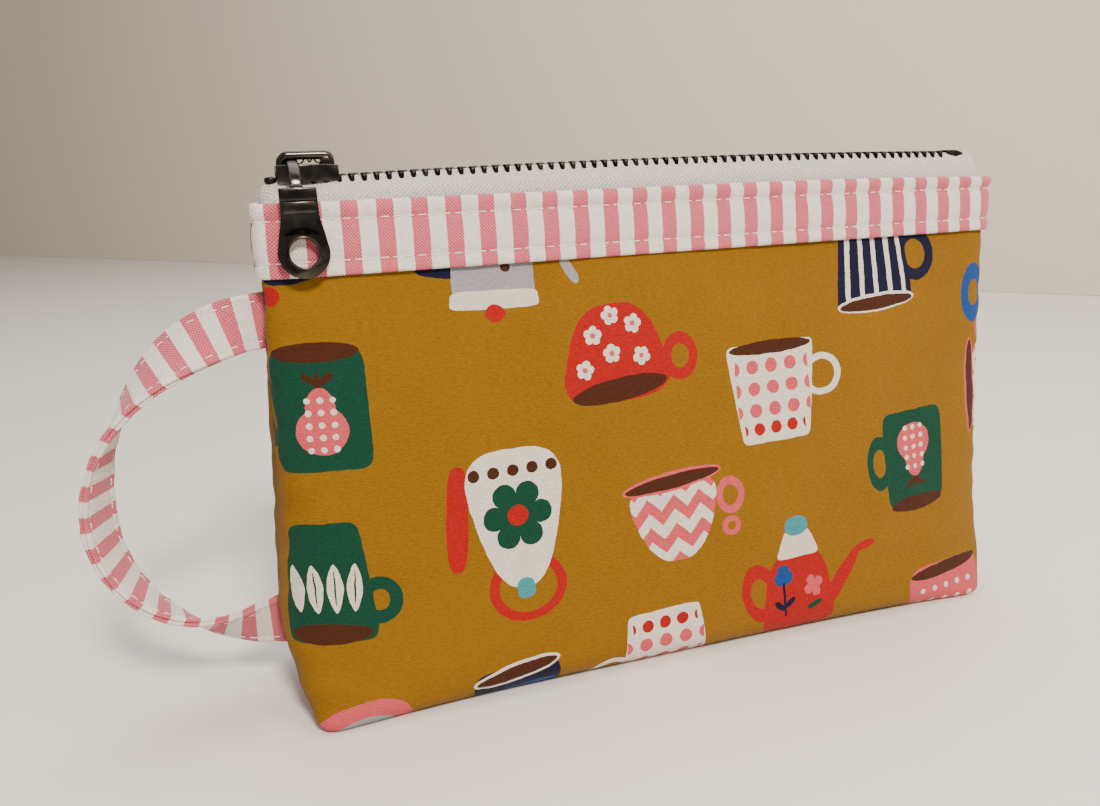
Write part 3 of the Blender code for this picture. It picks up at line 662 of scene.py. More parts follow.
def printed_cotton(name, motifs, props, groups):
    """Quilting-weight plain-woven cotton, screen printed: a matt mustard ground whose yarns show
    as a fine grid, with flat patches of colour that the same yarns run through."""
    material, tree, shader = new_material(
        name, props.ground, Roughness=0.88, Sheen_Weight=0.05, Sheen_Roughness=0.5,
        Specular_IOR_Level=0.15,
    )
    place, u, v = cloth_place(tree)
    wobble = add_node(tree, "TexNoise", Vector=place, Scale=0.35, Detail=1.0).outputs["Color"]
    shaken = add_node(
        tree, "VectorMath", {"operation": "MULTIPLY_ADD"}, n0=wobble, n1=(0.5, 0.5, 0.0), n2=place
    ).outputs[0]
    patchy = add_node(tree, "TexNoise", Vector=place, Scale=0.04, Detail=3.0).outputs[0]
    colour = add_node(
        tree, "Mix", {"data_type": "RGBA"}, n0=patchy, n6=linear(props.ground),
        n7=linear(props.ground_deep),
    ).outputs[2]
    for motif, centre, turn, flip in motifs:
        local = add_node(
            tree, "Mapping", {"vector_type": "TEXTURE"}, Vector=shaken, Location=(*centre, 0.0),
            Rotation=(0.0, 0.0, math.radians(turn)), Scale=(float(flip), 1.0, 1.0),
        ).outputs[0]
        colour = add_node(
            tree, "Group", {"node_tree": groups[motif]}, Place=local, Ground=colour
        ).outputs[0]
    weave = plain_weave(tree, u, v, props.weave)
    uneven = slubs(tree, place, 1.5, 0.45)
    height = add_node(tree, "Math", {"operation": "MULTIPLY_ADD"}, n0=uneven, n1=1.5, n2=weave)
    level = add_node(tree, "Math", {"operation": "MULTIPLY"}, n0=height.outputs[0], n1=0.5)
    # Painted shade in the weave's valleys and thin yarns, up to 62 % darker.
    finish_cloth(tree, shader, colour, level.outputs[0], 0.28, 0.62)
    return material


def striped_cotton(name, props, period, phase, along="u"):
    """Yarn-dyed cotton: pink and white warp stripes, all crossed by a white weft, so the pink
    looks flecked and the white stays clean."""
    material, tree, shader = new_material(
        name, props.white, Roughness=0.88, Sheen_Weight=0.15, Sheen_Roughness=0.5,
        Specular_IOR_Level=0.25,
    )
    place, u, v = cloth_place(tree)
    run = u if along == "u" else v
    weave = plain_weave(tree, u, v, props.weave)
    turns = add_node(
        tree, "Math", {"operation": "MULTIPLY_ADD"}, n0=run, n1=1 / period,
        n2=0.25 - phase / period,
    ).outputs[0]
    wave = add_node(
        tree, "Math", {"operation": "SINE"},
        n0=add_node(tree, "Math", {"operation": "MULTIPLY"}, n0=turns, n1=2 * math.pi).outputs[0],
    ).outputs[0]
    ragged = slubs(tree, place, 0.6, 9.0)
    edge = add_node(tree, "Math", {"operation": "MULTIPLY_ADD"}, n0=ragged, n1=0.12, n2=wave)
    inside = add_node(
        tree, "MapRange", {"interpolation_type": "SMOOTHSTEP"}, n0=edge.outputs[0],
        From_Min=0.0, From_Max=0.14, To_Min=0.0, To_Max=1.0,
    ).outputs[0]
    fleck = add_node(
        tree, "MapRange", n0=weave, From_Min=0.25, From_Max=0.95, To_Min=0.0, To_Max=0.26
    ).outputs[0]
    pink = add_node(
        tree, "Mix", {"data_type": "RGBA"}, n0=fleck, n6=linear(props.pink), n7=linear(props.white)
    ).outputs[2]
    colour = add_node(
        tree, "Mix", {"data_type": "RGBA"}, n0=inside, n6=linear(props.white), n7=pink
    ).outputs[2]
    uneven = slubs(tree, place, 1.7, 0.45)
    height = add_node(tree, "Math", {"operation": "MULTIPLY_ADD"}, n0=uneven, n1=1.5, n2=weave)
    level = add_node(tree, "Math", {"operation": "MULTIPLY"}, n0=height.outputs[0], n1=0.5)
    # Painted shade in the weave's valleys and thin yarns, up to half darker.
    finish_cloth(tree, shader, colour, level.outputs[0], 0.28, 0.5)
    return material


def plain_cotton(name, colour, pitch, bump):
    """Undyed plain-woven cotton, as lining or thread: matt and slightly uneven."""
    material, tree, shader = new_material(
        name, colour, Roughness=0.9, Sheen_Weight=0.12, Specular_IOR_Level=0.25
    )
    spot = add_node(tree, "TexCoord").outputs["Object"]
    noise = add_node(tree, "TexNoise", Vector=spot, Scale=1000 / pitch, Detail=2.0).outputs[0]
    value = add_node(
        tree, "Mix", {"data_type": "RGBA"}, n0=noise, n6=linear(colour), n7=(1.0, 1.0, 1.0, 1.0)
    ).outputs[2]
    # Painted shade where the noise is low, up to 15 % darker.
    finish_cloth(tree, shader, value, noise, bump, 0.15)
    return material


def zip_tape_cloth(props):
    """Woven polyester tape: herringbone rows 3.4 mm wide with ribs every 1.1 mm, drawn a little
    coarser than the real twill so that they show, with a faint synthetic shine."""
    material, tree, shader = new_material(
        "Polyester herringbone tape", props.tape, Roughness=0.62, Sheen_Weight=0.2,
        Specular_IOR_Level=0.4,
    )
    place, u, v = cloth_place(tree)
    rows = add_node(tree, "Math", {"operation": "PINGPONG"}, n0=v, n1=3.4).outputs[0]
    slant = add_node(tree, "Math", {"operation": "MULTIPLY_ADD"}, n0=rows, n1=1.1, n2=u).outputs[0]
    turned = add_node(
        tree, "Math", {"operation": "MULTIPLY"}, n0=slant, n1=2 * math.pi / 1.2
    ).outputs[0]
    wave = add_node(tree, "Math", {"operation": "SINE"}, n0=turned).outputs[0]
    fuzz = add_node(tree, "TexNoise", Vector=place, Scale=1.6, Detail=3.0).outputs[0]
    height = add_node(
        tree, "Math", {"operation": "MULTIPLY_ADD"}, n0=wave, n1=0.35, n2=fuzz
    ).outputs[0]
    # Painted highlight: the tape turns to its light colour where the fuzz noise is high, the same
    # noise that raises the bump.
    colour = add_node(
        tree, "Mix", {"data_type": "RGBA"}, n0=fuzz, n6=linear(props.tape),
        n7=linear(props.tape_light),
    ).outputs[2]
    # Painted shade in the valleys of the ribs and fuzz, up to 42 % darker.
    finish_cloth(tree, shader, colour, height, 0.3, 0.42)
    return material


def plated_metal(name, colour, worn, roughness, grain):
    """Plated or blackened metal, polished and then handled: dark, with soft highlights that
    smudges and fine tumbling marks break up."""
    material, tree, shader = new_material(name, colour, Metallic=1.0)
    spot = add_node(tree, "TexCoord").outputs["Object"]
    smudge = add_node(tree, "TexNoise", Vector=spot, Scale=260.0, Detail=4.0).outputs[0]
    fine = add_node(tree, "TexNoise", Vector=spot, Scale=grain, Detail=2.0).outputs[0]
    tint = add_node(
        tree, "Mix", {"data_type": "RGBA"},
        n0=add_node(
            tree, "MapRange", n0=smudge, From_Min=0.42, From_Max=0.72, To_Min=0.0, To_Max=0.55
        ).outputs[0],
        n6=linear(colour), n7=linear(worn),
    ).outputs[2]
    tree.links.new(tint, shader.inputs["Base Color"])
    rough = add_node(
        tree, "MapRange", n0=smudge, From_Min=0.3, From_Max=0.7, To_Min=roughness * 0.8,
        To_Max=roughness * 1.35,
    ).outputs[0]
    tree.links.new(rough, shader.inputs["Roughness"])
    raised = add_node(tree, "Bump", Height=fine, Strength=0.25, Distance=0.02 * MM)
    tree.links.new(raised.outputs[0], shader.inputs["Normal"])
    return material


def dress(piece, material, body, slot, *nodes):
    """Gives a finished piece its material and its body, and hides the CAD parts of the nodes it
    stands for. The slot is not used.
    """
    if material:
        piece.data.materials.clear()
        piece.data.materials.append(material)
    if body:
        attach(piece, body)
    else:
        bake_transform(piece)
    if nodes:
        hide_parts(*nodes)
    return piece


# ------------------------------------------------------------------ settings


class PouchClothSettings(bpy.types.PropertyGroup):
    """Colours and thread sizes of the printed cotton."""

    ground: bpy.props.StringProperty(
        name="Ground", description="Main colour of the print", default="#8D6305"
    )
    ground_deep: bpy.props.StringProperty(
        name="Deep ground", description="Ground where the dye took deeper", default="#805803"
    )
    weave: bpy.props.FloatProperty(
        name="Weave pitch",
        description="Two yarns of the cloth, in millimetres",
        default=0.74,
        min=0.2,
    )


class PouchStripeSettings(bpy.types.PropertyGroup):
    """Colours and spacing of the striped cotton."""

    pink: bpy.props.StringProperty(name="Pink", description="Dyed stripe", default="#C4405A")
    white: bpy.props.StringProperty(
        name="White", description="Undyed stripe and weft", default="#E3DDD8"
    )
    period: bpy.props.FloatProperty(
        name="Stripe period",
        description="One pink and one white stripe, in millimetres",
        default=8.02,
    )
    phase: bpy.props.FloatProperty(
        name="Stripe place",
        description="Middle of one pink stripe from the pouch's middle, in millimetres",
        default=-75.2,
    )
    strap_period: bpy.props.FloatProperty(
        name="Strap stripe period",
        description="One pink and one white stripe on the strap, in millimetres",
        default=7.1,
    )
    strap_phase: bpy.props.FloatProperty(
        name="Strap stripe place",
        description="Middle of one pink stripe from the strap's upper end, in millimetres",
        default=1.8,
    )
    weave: bpy.props.FloatProperty(
        name="Weave pitch",
        description="Two yarns of the cloth, in millimetres",
        default=0.8,
        min=0.2,
    )


class PouchZipSettings(bpy.types.PropertyGroup):
    """Colours of the zip's tape and metal."""

    tape: bpy.props.StringProperty(
        name="Tape", description="Colour of the woven tape", default="#BCB7B3"
    )
    tape_light: bpy.props.StringProperty(
        name="Light tape", description="Tape where its ribs catch the light", default="#D6D2CE"
    )
    teeth: bpy.props.StringProperty(
        name="Teeth", description="Blackened brass of the teeth and stops", default="#1F1D1C"
    )
    plating: bpy.props.StringProperty(
        name="Plating", description="Gunmetal plating of slider and pull", default="#3A3734"
    )


class PouchStageSettings(bpy.types.PropertyGroup):
    """Floor, wall and light."""

    floor: bpy.props.StringProperty(
        name="Floor", description="Colour of the table top", default="#DEDAD5"
    )
    wall: bpy.props.StringProperty(
        name="Wall", description="Colour of the wall", default="#D3CABC"
    )
    key_power: bpy.props.FloatProperty(
        name="Key light",
        description="Power of the large soft light",
        default=11.5,
        min=0,
        unit="POWER",
    )


# ------------------------------------------------------------------ band, tape, stitches

BAND_PROFILE = [  # (stand-out from the body, depth below the zip line), from the inner edge out
    (0.3, 9.0), (0.25, 7.2), (0.45, 6.3), (1.0, 5.95), (1.65, 6.2), (2.0, 7.0), (1.95, 8.0),
    (1.6, 9.0), (1.2, UPPER_STITCH), (1.45, 10.4), (1.7, 11.6), (1.8, 14.0), (1.75, 16.4),
    (1.5, 17.8), (1.2, LOWER_STITCH), (1.45, 19.3), (1.6, 20.4), (1.55, 21.4), (1.2, 22.0),
    (0.7, 21.9), (0.45, 21.0),
]
BAND_COLUMNS, BAND_ROWS = 330, 44


def smooth_path(points, count):
    """Points evenly spread on a Catmull-Rom curve through the given ones."""
    given = np.asarray(points, float)
    ends = np.vstack([2 * given[0] - given[1], given, 2 * given[-1] - given[-2]])
    fine = []
    for index in range(len(given) - 1):
        p0, p1, p2, p3 = ends[index : index + 4]
        for t in np.linspace(0, 1, 12, endpoint=False):
            fine.append(
                0.5 * (2 * p1 + (p2 - p0) * t + (2 * p0 - 5 * p1 + 4 * p2 - p3) * t * t
                       + (3 * p1 - p0 - 3 * p2 + p3) * t**3)
            )
    fine.append(given[-1])
    fine = np.array(fine)
    run = np.concatenate([[0], np.cumsum(np.linalg.norm(np.diff(fine, axis=0), axis=1))])
    at = np.linspace(0, run[-1], count)
    return np.stack([np.interp(at, run, fine[:, axis]) for axis in range(fine.shape[1])], 1)


def band_puff(u, depth, seed):
    """Fullness between the stitch lines: the fold puffs up and puckers at each stitch."""
    fold = np.exp(-((depth - 7.6) / 1.7) ** 2)
    below = np.exp(-((depth - 11.0) / 1.3) ** 2)
    hem = np.exp(-((depth - 20.6) / 1.2) ** 2)
    middle = np.exp(-((depth - 14.5) / 3.0) ** 2)
    return (
        0.42 * fold * ripples(u, depth * 0.5, seed, 9.0, 4.2)
        + 0.24 * below * ripples(u, depth * 0.8, seed + 1, 7.5, 3.6)
        + 0.2 * hem * ripples(u, depth * 0.8, seed + 2, 8.0, 4.0)
        + 0.22 * middle * ripples(u, depth * 0.6, seed + 3, 26, 11)
    )


def band_top_drop(x):
    """The band's fold sits a little higher at the slider and lower at the far end."""
    return -0.45 + 1.2 * np.clip((x - 20) / 80, 0, 1) ** 2


def band_points(wall, outset, depth, seed):
    """Points of the band for rows of stand-out and depth below the zip line."""
    outset, depth = (np.atleast_1d(value)[:, None] for value in (outset, depth))
    x = wall.places[80, :, 0]
    level = zip_height(x) - depth - band_top_drop(x) * np.clip((14 - depth) / 8, 0, 1)
    _, u = wall.at(level)
    seam = wall.from_seam(0.66)
    outset = outset + band_puff(u, depth, seed) * np.minimum(1.0, seam / 3 + 0.2)
    return wall.at(level, outset - 0.6 * np.exp(-((seam / 1.3) ** 2)))


def band_sheet(name, side, seed):
    wall = BodyWall(side, BAND_COLUMNS)
    outset, depth = smooth_path(BAND_PROFILE, BAND_ROWS).T
    places, u = band_points(wall, outset, depth, seed)
    uvs = np.stack([u, np.broadcast_to(depth[:, None], u.shape)], -1)
    faces = grid_faces(BAND_ROWS, BAND_COLUMNS, flip=side < 0)
    return make_object(name, places.reshape(-1, 3), faces, uvs.reshape(-1, 2))


def add_stitches(name, line, outward, length=STITCH_LENGTH):
    """Lockstitches along a line: each a short thread that dips into the cloth at both ends."""
    line = np.asarray(line, float)
    run = np.concatenate([[0], np.cumsum(np.linalg.norm(np.diff(line, axis=0), axis=1))])
    points, faces = [], []
    count = int(run[-1] / (length + STITCH_GAP))
    sides, rings = 6, (0.0, 0.2, 0.5, 0.8, 1.0)
    for index in range(count):
        low = index * (length + STITCH_GAP) + STITCH_GAP / 2
        for share in rings:
            at = low + share * length
            place = np.array([np.interp(at, run, line[:, axis]) for axis in range(3)])
            ahead = np.array([np.interp(at + 0.2, run, line[:, axis]) for axis in range(3)])
            back = np.array([np.interp(at - 0.2, run, line[:, axis]) for axis in range(3)])
            along = (ahead - back) / max(np.linalg.norm(ahead - back), 1e-9)
            out = np.array([np.interp(at, run, outward[:, axis]) for axis in range(3)])
            out -= along * out.dot(along)
            out /= np.linalg.norm(out)
            across = np.cross(along, out)
            lift = (0.16 if 0 < share < 1 else -0.25) + (0.06 if share == 0.5 else 0)
            radius = THREAD * (1.0 if 0 < share < 1 else 0.55)
            for corner in range(sides):
                turn = 2 * math.pi * corner / sides
                points.append(
                    place + out * (lift + radius * math.sin(turn))
                    + across * radius * 1.15 * math.cos(turn)
                )
        start = len(points) - sides * len(rings)
        faces.append(tuple(start + corner for corner in range(sides))[::-1])
        faces.append(tuple(start + sides * (len(rings) - 1) + corner for corner in range(sides)))
        for ring in range(len(rings) - 1):
            for corner in range(sides):
                after = (corner + 1) % sides
                a, b = start + ring * sides, start + (ring + 1) * sides
                faces.append((a + corner, a + after, b + after, b + corner))
    made = make_object(name, points, faces)
    pick(made)
    bpy.ops.object.mode_set(mode="EDIT")
    bpy.ops.mesh.select_all(action="SELECT")
    bpy.ops.mesh.normals_make_consistent(inside=False)
    bpy.ops.object.mode_set(mode="OBJECT")
    return made


def band_stitch_line(side, depth, outset, seed):
    wall = BodyWall(side, BAND_COLUMNS)
    low, _ = band_points(wall, outset, depth, seed)
    high, _ = band_points(wall, outset + 1, depth, seed)
    return low[0, 3:-3], (high - low)[0, 3:-3]


TAPE_PROFILE = [  # (distance from the middle, depth below the zip line)
    (1.4, 0.9), (0.85, 0.6), (0.75, 0.1), (1.0, -0.3), (1.5, -0.35), (2.0, 0.1), (2.5, 0.75),
    (3.2, 1.7), (4.0, 3.0), (4.6, 4.5), (5.1, 6.4), (5.6, 9.0), (6.1, 12.4),
]
TAPE_COLUMNS, TAPE_ROWS = 240, 34
TAPE_END = 98.6


def tape_sheet(name, side, seed):
    """Zip tape: a beaded edge by the teeth, a soft slope, then down behind the band. Its ends
    curl over and go down into the side seams."""
    profile = smooth_path(TAPE_PROFILE, TAPE_ROWS)
    run = np.concatenate([[0], np.cumsum(np.linalg.norm(np.diff(profile, axis=0), axis=1))])
    away, depth, run = profile[:, :1], profile[:, 1:], run[:, None]
    u = np.linspace(-TAPE_END - 9.5, TAPE_END + 9.5, TAPE_COLUMNS)[None, :]
    over = np.maximum(0.0, np.abs(u) - TAPE_END)
    turn = np.minimum(over / 3.2, 1.35)
    past = np.maximum(0.0, over - 4.3)
    x = np.sign(u) * (np.minimum(np.abs(u), TAPE_END) + 3.2 * np.sin(turn) + past * 0.2)
    drop = 3.2 * (1 - np.cos(turn)) + past * 0.95
    ease = np.minimum(1.0, over / 5)
    curl = np.sin(np.arange(TAPE_ROWS)[:, None] * 0.35 + np.where(u < 0, 1.2, 0))
    wave = 0.22 * ripples(u, run * 1.5, seed, 34, 12)
    level = chain_bow(x) * np.maximum(0, 1 - depth / 9) + wave * np.clip(depth / 2, 0, 1)
    z = zip_height(x) + level - depth * (1 - 0.25 * ease) - drop
    near = away * (1 - 0.35 * ease) + 0.4 * ease * curl + 0.6 * wave * np.clip(depth / 3, 0, 1)
    x, u, run = (np.broadcast_to(value, z.shape) for value in (x, u, run))
    places, uvs = np.stack([x, side * near, z], -1), np.stack([u, run], -1)
    faces = grid_faces(TAPE_ROWS, TAPE_COLUMNS, flip=side > 0)
    return make_object(name, places.reshape(-1, 3), faces, uvs.reshape(-1, 2))


# ------------------------------------------------------------------ metal pieces, by operators


def start_box(name, low, high):
    """A primitive box between two corners, in millimetres, left in object mode."""
    pick_nothing()
    low, high = Vector(low), Vector(high)
    bpy.ops.mesh.primitive_cube_add(size=1.0, location=(low + high) / 2 * MM)
    made = bpy.context.object
    made.name = name
    made.scale = (high - low) * MM
    bpy.ops.object.transform_apply(location=True, rotation=True, scale=True)
    return made


def pick_nothing():
    if bpy.context.object and bpy.context.object.mode != "OBJECT":
        bpy.ops.object.mode_set(mode="OBJECT")
    bpy.ops.object.select_all(action="DESELECT")


def choose_faces(target, test):
    """Edit mode with only the faces selected whose centre and normal pass the test."""
    pick(target)
    bpy.ops.object.mode_set(mode="EDIT")
    bpy.ops.mesh.select_mode(type="FACE")
    bpy.ops.mesh.select_all(action="DESELECT")
    shape = bmesh.from_edit_mesh(target.data)
    for face in shape.faces:
        face.select_set(bool(test(face.calc_center_median() / MM, face.normal)))
    bmesh.update_edit_mesh(target.data)


def choose_points(target, test):
    """Edit mode with only the points selected that pass the test."""
    pick(target)
    bpy.ops.object.mode_set(mode="EDIT")
    bpy.ops.mesh.select_mode(type="VERT")
    bpy.ops.mesh.select_all(action="DESELECT")
    shape = bmesh.from_edit_mesh(target.data)
    for point in shape.verts:
        point.select_set(bool(test(point.co / MM)))
    shape.select_flush_mode()
    bmesh.update_edit_mesh(target.data)


def cut_across(target, place, normal):
    """Cuts every face along a plane and keeps both sides."""
    pick(target)
    bpy.ops.object.mode_set(mode="EDIT")
    bpy.ops.mesh.select_all(action="SELECT")
    bpy.ops.mesh.bisect(plane_co=Vector(place) * MM, plane_no=normal)
    bpy.ops.object.mode_set(mode="OBJECT")


def extrude(offset):
    bpy.ops.mesh.extrude_region_move(TRANSFORM_OT_translate={"value": Vector(offset) * MM})


def resize(factors, centre):
    bpy.ops.transform.resize(value=factors, center_override=Vector(centre) * MM)


def resize_where(target, test, factors, centre):
    """Resizes the points that pass a test."""
    choose_points(target, test)
    resize(factors, centre)
    bpy.ops.object.mode_set(mode="OBJECT")


def round_edges(target, width, segments=2, angle=35):
    pick(target)
    apply_modifier(
        target, "BEVEL", width=width * MM, segments=segments, limit_method="ANGLE",
        angle_limit=math.radians(angle), harden_normals=False,
    )
    pick(target)
    bpy.ops.object.shade_smooth_by_angle(angle=math.radians(40))
    return target


def join(first, *others):
    pick(first, *others)
    bpy.ops.object.join()
    return bpy.context.object


def settle(target, matrix):
    """Moves a piece from its own frame to its place, and leaves that place in its mesh."""
    pick(target)
    target.matrix_world = matrix
    bpy.ops.object.transform_apply(location=True, rotation=True, scale=True)
    return target


def bored(target, centre, radius, axis="Y", segments=48):
    """Bores a round hole through a piece."""
    pick_nothing()
    turn = {"X": (0, math.pi / 2, 0), "Y": (math.pi / 2, 0, 0), "Z": (0, 0, 0)}[axis]
    bpy.ops.mesh.primitive_cylinder_add(
        vertices=segments, radius=radius * MM, depth=0.05, location=Vector(centre) * MM,
        rotation=turn,
    )
    drill = bpy.context.object
    apply_modifier(target, "BOOLEAN", object=drill, operation="DIFFERENCE", solver="EXACT")
    bpy.data.objects.remove(drill)
    return target


def one_tooth():
    """One tooth at the middle of the zip line: a head over the middle and two legs that clamp the
    tape's bead."""
    tooth = start_box("tooth", (-0.68, -1.15, -1.1), (0.68, 0.75, 1.1))
    cut_across(tooth, (0, 0, 0.42), (0, 0, 1))
    cut_across(tooth, (0, 0, -0.42), (0, 0, 1))
    choose_faces(tooth, lambda c, n: n.y < -0.9)
    extrude((0, -1.2, -0.1))
    extrude((0, -0.55, -0.25))
    bpy.ops.object.mode_set(mode="OBJECT")
    choose_points(tooth, lambda p: p.y < -2.6)
    resize((0.66, 1, 0.7), (0, -2.9, -0.1))
    bpy.ops.object.mode_set(mode="OBJECT")
    choose_points(tooth, lambda p: p.y > 0.5 and abs(p.z) > 0.8)
    resize((0.8, 1, 0.72), (0, 0.75, 0))
    bpy.ops.object.mode_set(mode="OBJECT")
    apply_modifier(
        tooth, "BEVEL", width=0.2 * MM, segments=1, limit_method="ANGLE",
        angle_limit=math.radians(40),
    )
    return tooth


def row_of_teeth(name, side):
    """Copies one tooth along the chain, following its slight arch and wear."""
    pattern = one_tooth()
    source = [tuple(v.co / MM) for v in pattern.data.vertices]
    shapes = [tuple(p.vertices) for p in pattern.data.polygons]
    random = np.random.RandomState(7 + side)
    points, faces = [], []
    for index in range(TEETH_COUNT):
        along = TEETH_START + TOOTH_PITCH * (index + (0.5 if side > 0 else 0)) + 0.55
        if along > STOP_START - 0.8:
            break
        tilt = random.uniform(-0.05, 0.05)
        base = len(points)
        for x, y, z in source:
            turned = x + z * tilt
            points.append((along + turned, side * -y, z + float(chain_bow(along))))
        for shape in shapes:
            face = tuple(base + corner for corner in shape)
            faces.append(face[::-1] if side > 0 else face)
    bpy.data.objects.remove(pattern)
    row = make_object(name, points, faces)
    settle(row, ZIP_FRAME)
    pick(row)
    bpy.ops.object.shade_smooth_by_angle(angle=math.radians(50))
    return row


def add_stop(name, low, high, dip, lean):
    """A crimped stop: a folded strip of metal pressed over the tape's edge."""
    stop = start_box(name, low, high)
    middle = (Vector(low) + Vector(high)) / 2
    cut_across(stop, middle, (1, 0, 0))
    resize_where(stop, lambda p: abs(p.x - middle.x) > 0.3, (1, 0.82, 0.72), middle)
    round_edges(stop, 0.45, 3, 30)
    turn = Matrix.Rotation(math.radians(lean), 4, "Y")
    pivot = Vector((low[0], 0, 0)) * MM
    there = Matrix.Translation(pivot + Vector((0, 0, dip * MM)))
    local = there @ turn @ Matrix.Translation(-pivot)
    return settle(stop, ZIP_FRAME @ local)


def slider_half(sign):
    """One plate of the slider with its two flanges bent towards the tape."""
    length = SLIDER_LENGTH
    low, high = (-1.3, PLATE_TOP) if sign > 0 else (-PLATE_TOP, -1.4)
    reach = 4.2 if sign > 0 else 2.7
    half = start_box("slider_plate", (0, -reach, low), (length, reach, high))
    for side in (-1, 1):
        cut_across(half, (0, side * 0.75 * reach, 0), (0, 1, 0))
    for share in (0.3, 0.55, 0.8):
        cut_across(half, (length * share, 0, 0), (1, 0, 0))
    choose_faces(half, lambda c, n: n.z * sign < -0.9 and abs(c.y) < 0.7 * reach)
    bpy.ops.transform.translate(value=(0, 0, (2.6 if sign > 0 else -0.4) * MM))
    bpy.ops.object.mode_set(mode="OBJECT")
    for share, width in ((0.0, 0.86), (0.3, 1.0), (0.55, 0.93), (0.8, 0.8), (1.0, 0.7)):
        near = length * share
        resize_where(half, lambda p: abs(p.x - near) < 0.1, (1, width, 1), (0, 0, 0))
    resize_where(half, lambda p: p.x > length - 0.1, (1, 1, 0.9), (0, 0, sign * 0.62))
    return round_edges(half, 0.5 if sign > 0 else 0.3, 3, 30)


def build_slider_body():
    upper, lower = slider_half(1), slider_half(-1)
    post = start_box("slider_post", (1.2, -1.1, -2.0), (4.2, 1.1, 2.0))
    resize_where(post, lambda p: p.x > 3, (1, 0.35, 1), (4.2, 0, 0))
    round_edges(post, 0.3, 2, 30)
    body = join(upper, lower, post)
    body.name = "slider_plates"
    return settle(body, SLIDER_FRAME)


def swept_bar(name, path, wide, thick, plane="XZ"):
    """A flat bar with round edges along a path in one plane, modelled as a swept section."""
    path = np.asarray(path, float)
    tangent = np.gradient(path, axis=0)
    tangent /= np.linalg.norm(tangent, axis=1)[:, None]
    section, steps = [], 6
    for corner, (sx, sy) in enumerate(((1, 1), (-1, 1), (-1, -1), (1, -1))):
        for step in range(steps):
            turn = math.pi / 2 * (corner + step / (steps - 1))
            radius = min(wide, thick) * 0.46
            section.append(
                (sx * (wide / 2 - radius) + radius * math.cos(turn),
                 sy * (thick / 2 - radius) + radius * math.sin(turn))
            )
    points = []
    for place, along in zip(path, tangent):
        normal = (-along[1], along[0])
        for u, v in section:
            a, b = place[0] + normal[0] * v, place[1] + normal[1] * v
            points.append((a, u, b) if plane == "XZ" else (u, a, b))
    count = len(section)
    faces = [tuple(range(count)), tuple(range(len(points) - 1, len(points) - count - 1, -1))]
    for ring in range(len(path) - 1):
        for corner in range(count):
            after = (corner + 1) % count
            a, b = ring * count, (ring + 1) * count
            faces.append((a + corner, b + corner, b + after, a + after))
    bar = make_object(name, points, faces)
    pick(bar)
    bpy.ops.object.mode_set(mode="EDIT")
    bpy.ops.mesh.select_all(action="SELECT")
    bpy.ops.mesh.remove_doubles(threshold=0.00001)
    bpy.ops.mesh.normals_make_consistent(inside=False)
    bpy.ops.object.mode_set(mode="OBJECT")
    bpy.ops.object.shade_smooth_by_angle(angle=math.radians(40))
    return bar


def build_crown():
    """The crown: a thick strip arched over the plate, with its feet pressed into it."""
    left, right, top = 1.5, SLIDER_LENGTH - 1.6, CROWN_TOP - 0.95
    path = [(left - 0.3, PLATE_TOP - 0.6), (left - 0.2, PLATE_TOP + 0.8), (left + 0.15, top - 0.7),
            (left + 1.0, top - 0.05), (left + 2.4, top), (7.0, top + 0.02), (right - 2.2, top),
            (right - 0.6, top - 0.08), (right - 0.06, top - 0.62), (right, PLATE_TOP + 0.7),
            (right, PLATE_TOP - 0.6)]
    bar = swept_bar("slider_crown_bar", smooth_path(path, 60), 3.2, 1.9)
    foot = start_box(
        "crown_foot", (right - 2.6, -1.7, PLATE_TOP - 0.4), (right + 1.0, 1.7, PLATE_TOP + 1.9)
    )
    resize_where(
        foot, lambda p: p.z > PLATE_TOP + 1, (0.72, 0.9, 1), (right + 0.5, 0, PLATE_TOP)
    )
    round_edges(foot, 0.4, 3, 30)
    nose = start_box("crown_nose", (0.2, -1.5, PLATE_TOP - 0.5), (2.6, 1.5, PLATE_TOP + 1.5))
    resize_where(nose, lambda p: p.z > PLATE_TOP + 1, (0.6, 0.7, 1), (1.6, 0, PLATE_TOP))
    round_edges(nose, 0.45, 3, 30)
    crown = join(bar, foot, nose)
    crown.name = "slider_crown_bar"
    return settle(crown, SLIDER_FRAME)


def build_spring():
    """The lock spring: a narrow leaf bent up and down in the crown's window."""
    floor = PLATE_TOP + 0.3
    path = [(5.2, floor + 0.1), (6.0, floor + 0.15), (6.9, floor + 1.35), (7.7, floor + 0.25),
            (8.5, floor + 1.2), (9.3, floor + 0.2), (11.2, floor + 0.15)]
    spring = swept_bar("lock_spring_leaf", smooth_path(path, 50), 1.3, 0.34)
    return settle(spring, SLIDER_FRAME)


LINK_FRAME = ZIP_FRAME @ Matrix.Translation(
    ((SLIDER_START + LINK_FROM_NOSE) * MM, 0, CROWN_Z * MM)
)
PULL_FRAME = LINK_FRAME @ Matrix.Translation((0, PIVOT_Y * MM, PIVOT_Z * MM)) @ Matrix.Rotation(
    -PULL_LEAN, 4, "X"
)


def build_link():
    """A stamped strip curled into an eye at each end."""
    arm = smooth_path(
        [(0.2, -2.2), (-2.4, -2.5), (-5.4, -3.9), (-7.4, -6.0), (PIVOT_Y, PIVOT_Z + 0.7)], 24
    )
    tip = (PIVOT_Y, PIVOT_Z)
    pieces = [swept_bar("pull_link_strip", arm, 2.8, 1.15, "YZ")]
    for place, hole in (((0.9, -1.35), 0.55), (tip, 0.8)):
        ring = [
            (place[0] + (hole + 0.36) * math.cos(a), place[1] + (hole + 0.36) * math.sin(a))
            for a in np.linspace(0.02, 2 * math.pi - 0.02, 30)
        ]
        pieces.append(swept_bar("link_eye", ring, 2.8, 0.72, "YZ"))
    link = join(*pieces)
    link.name = "pull_link_strip"
    return settle(link, LINK_FRAME)


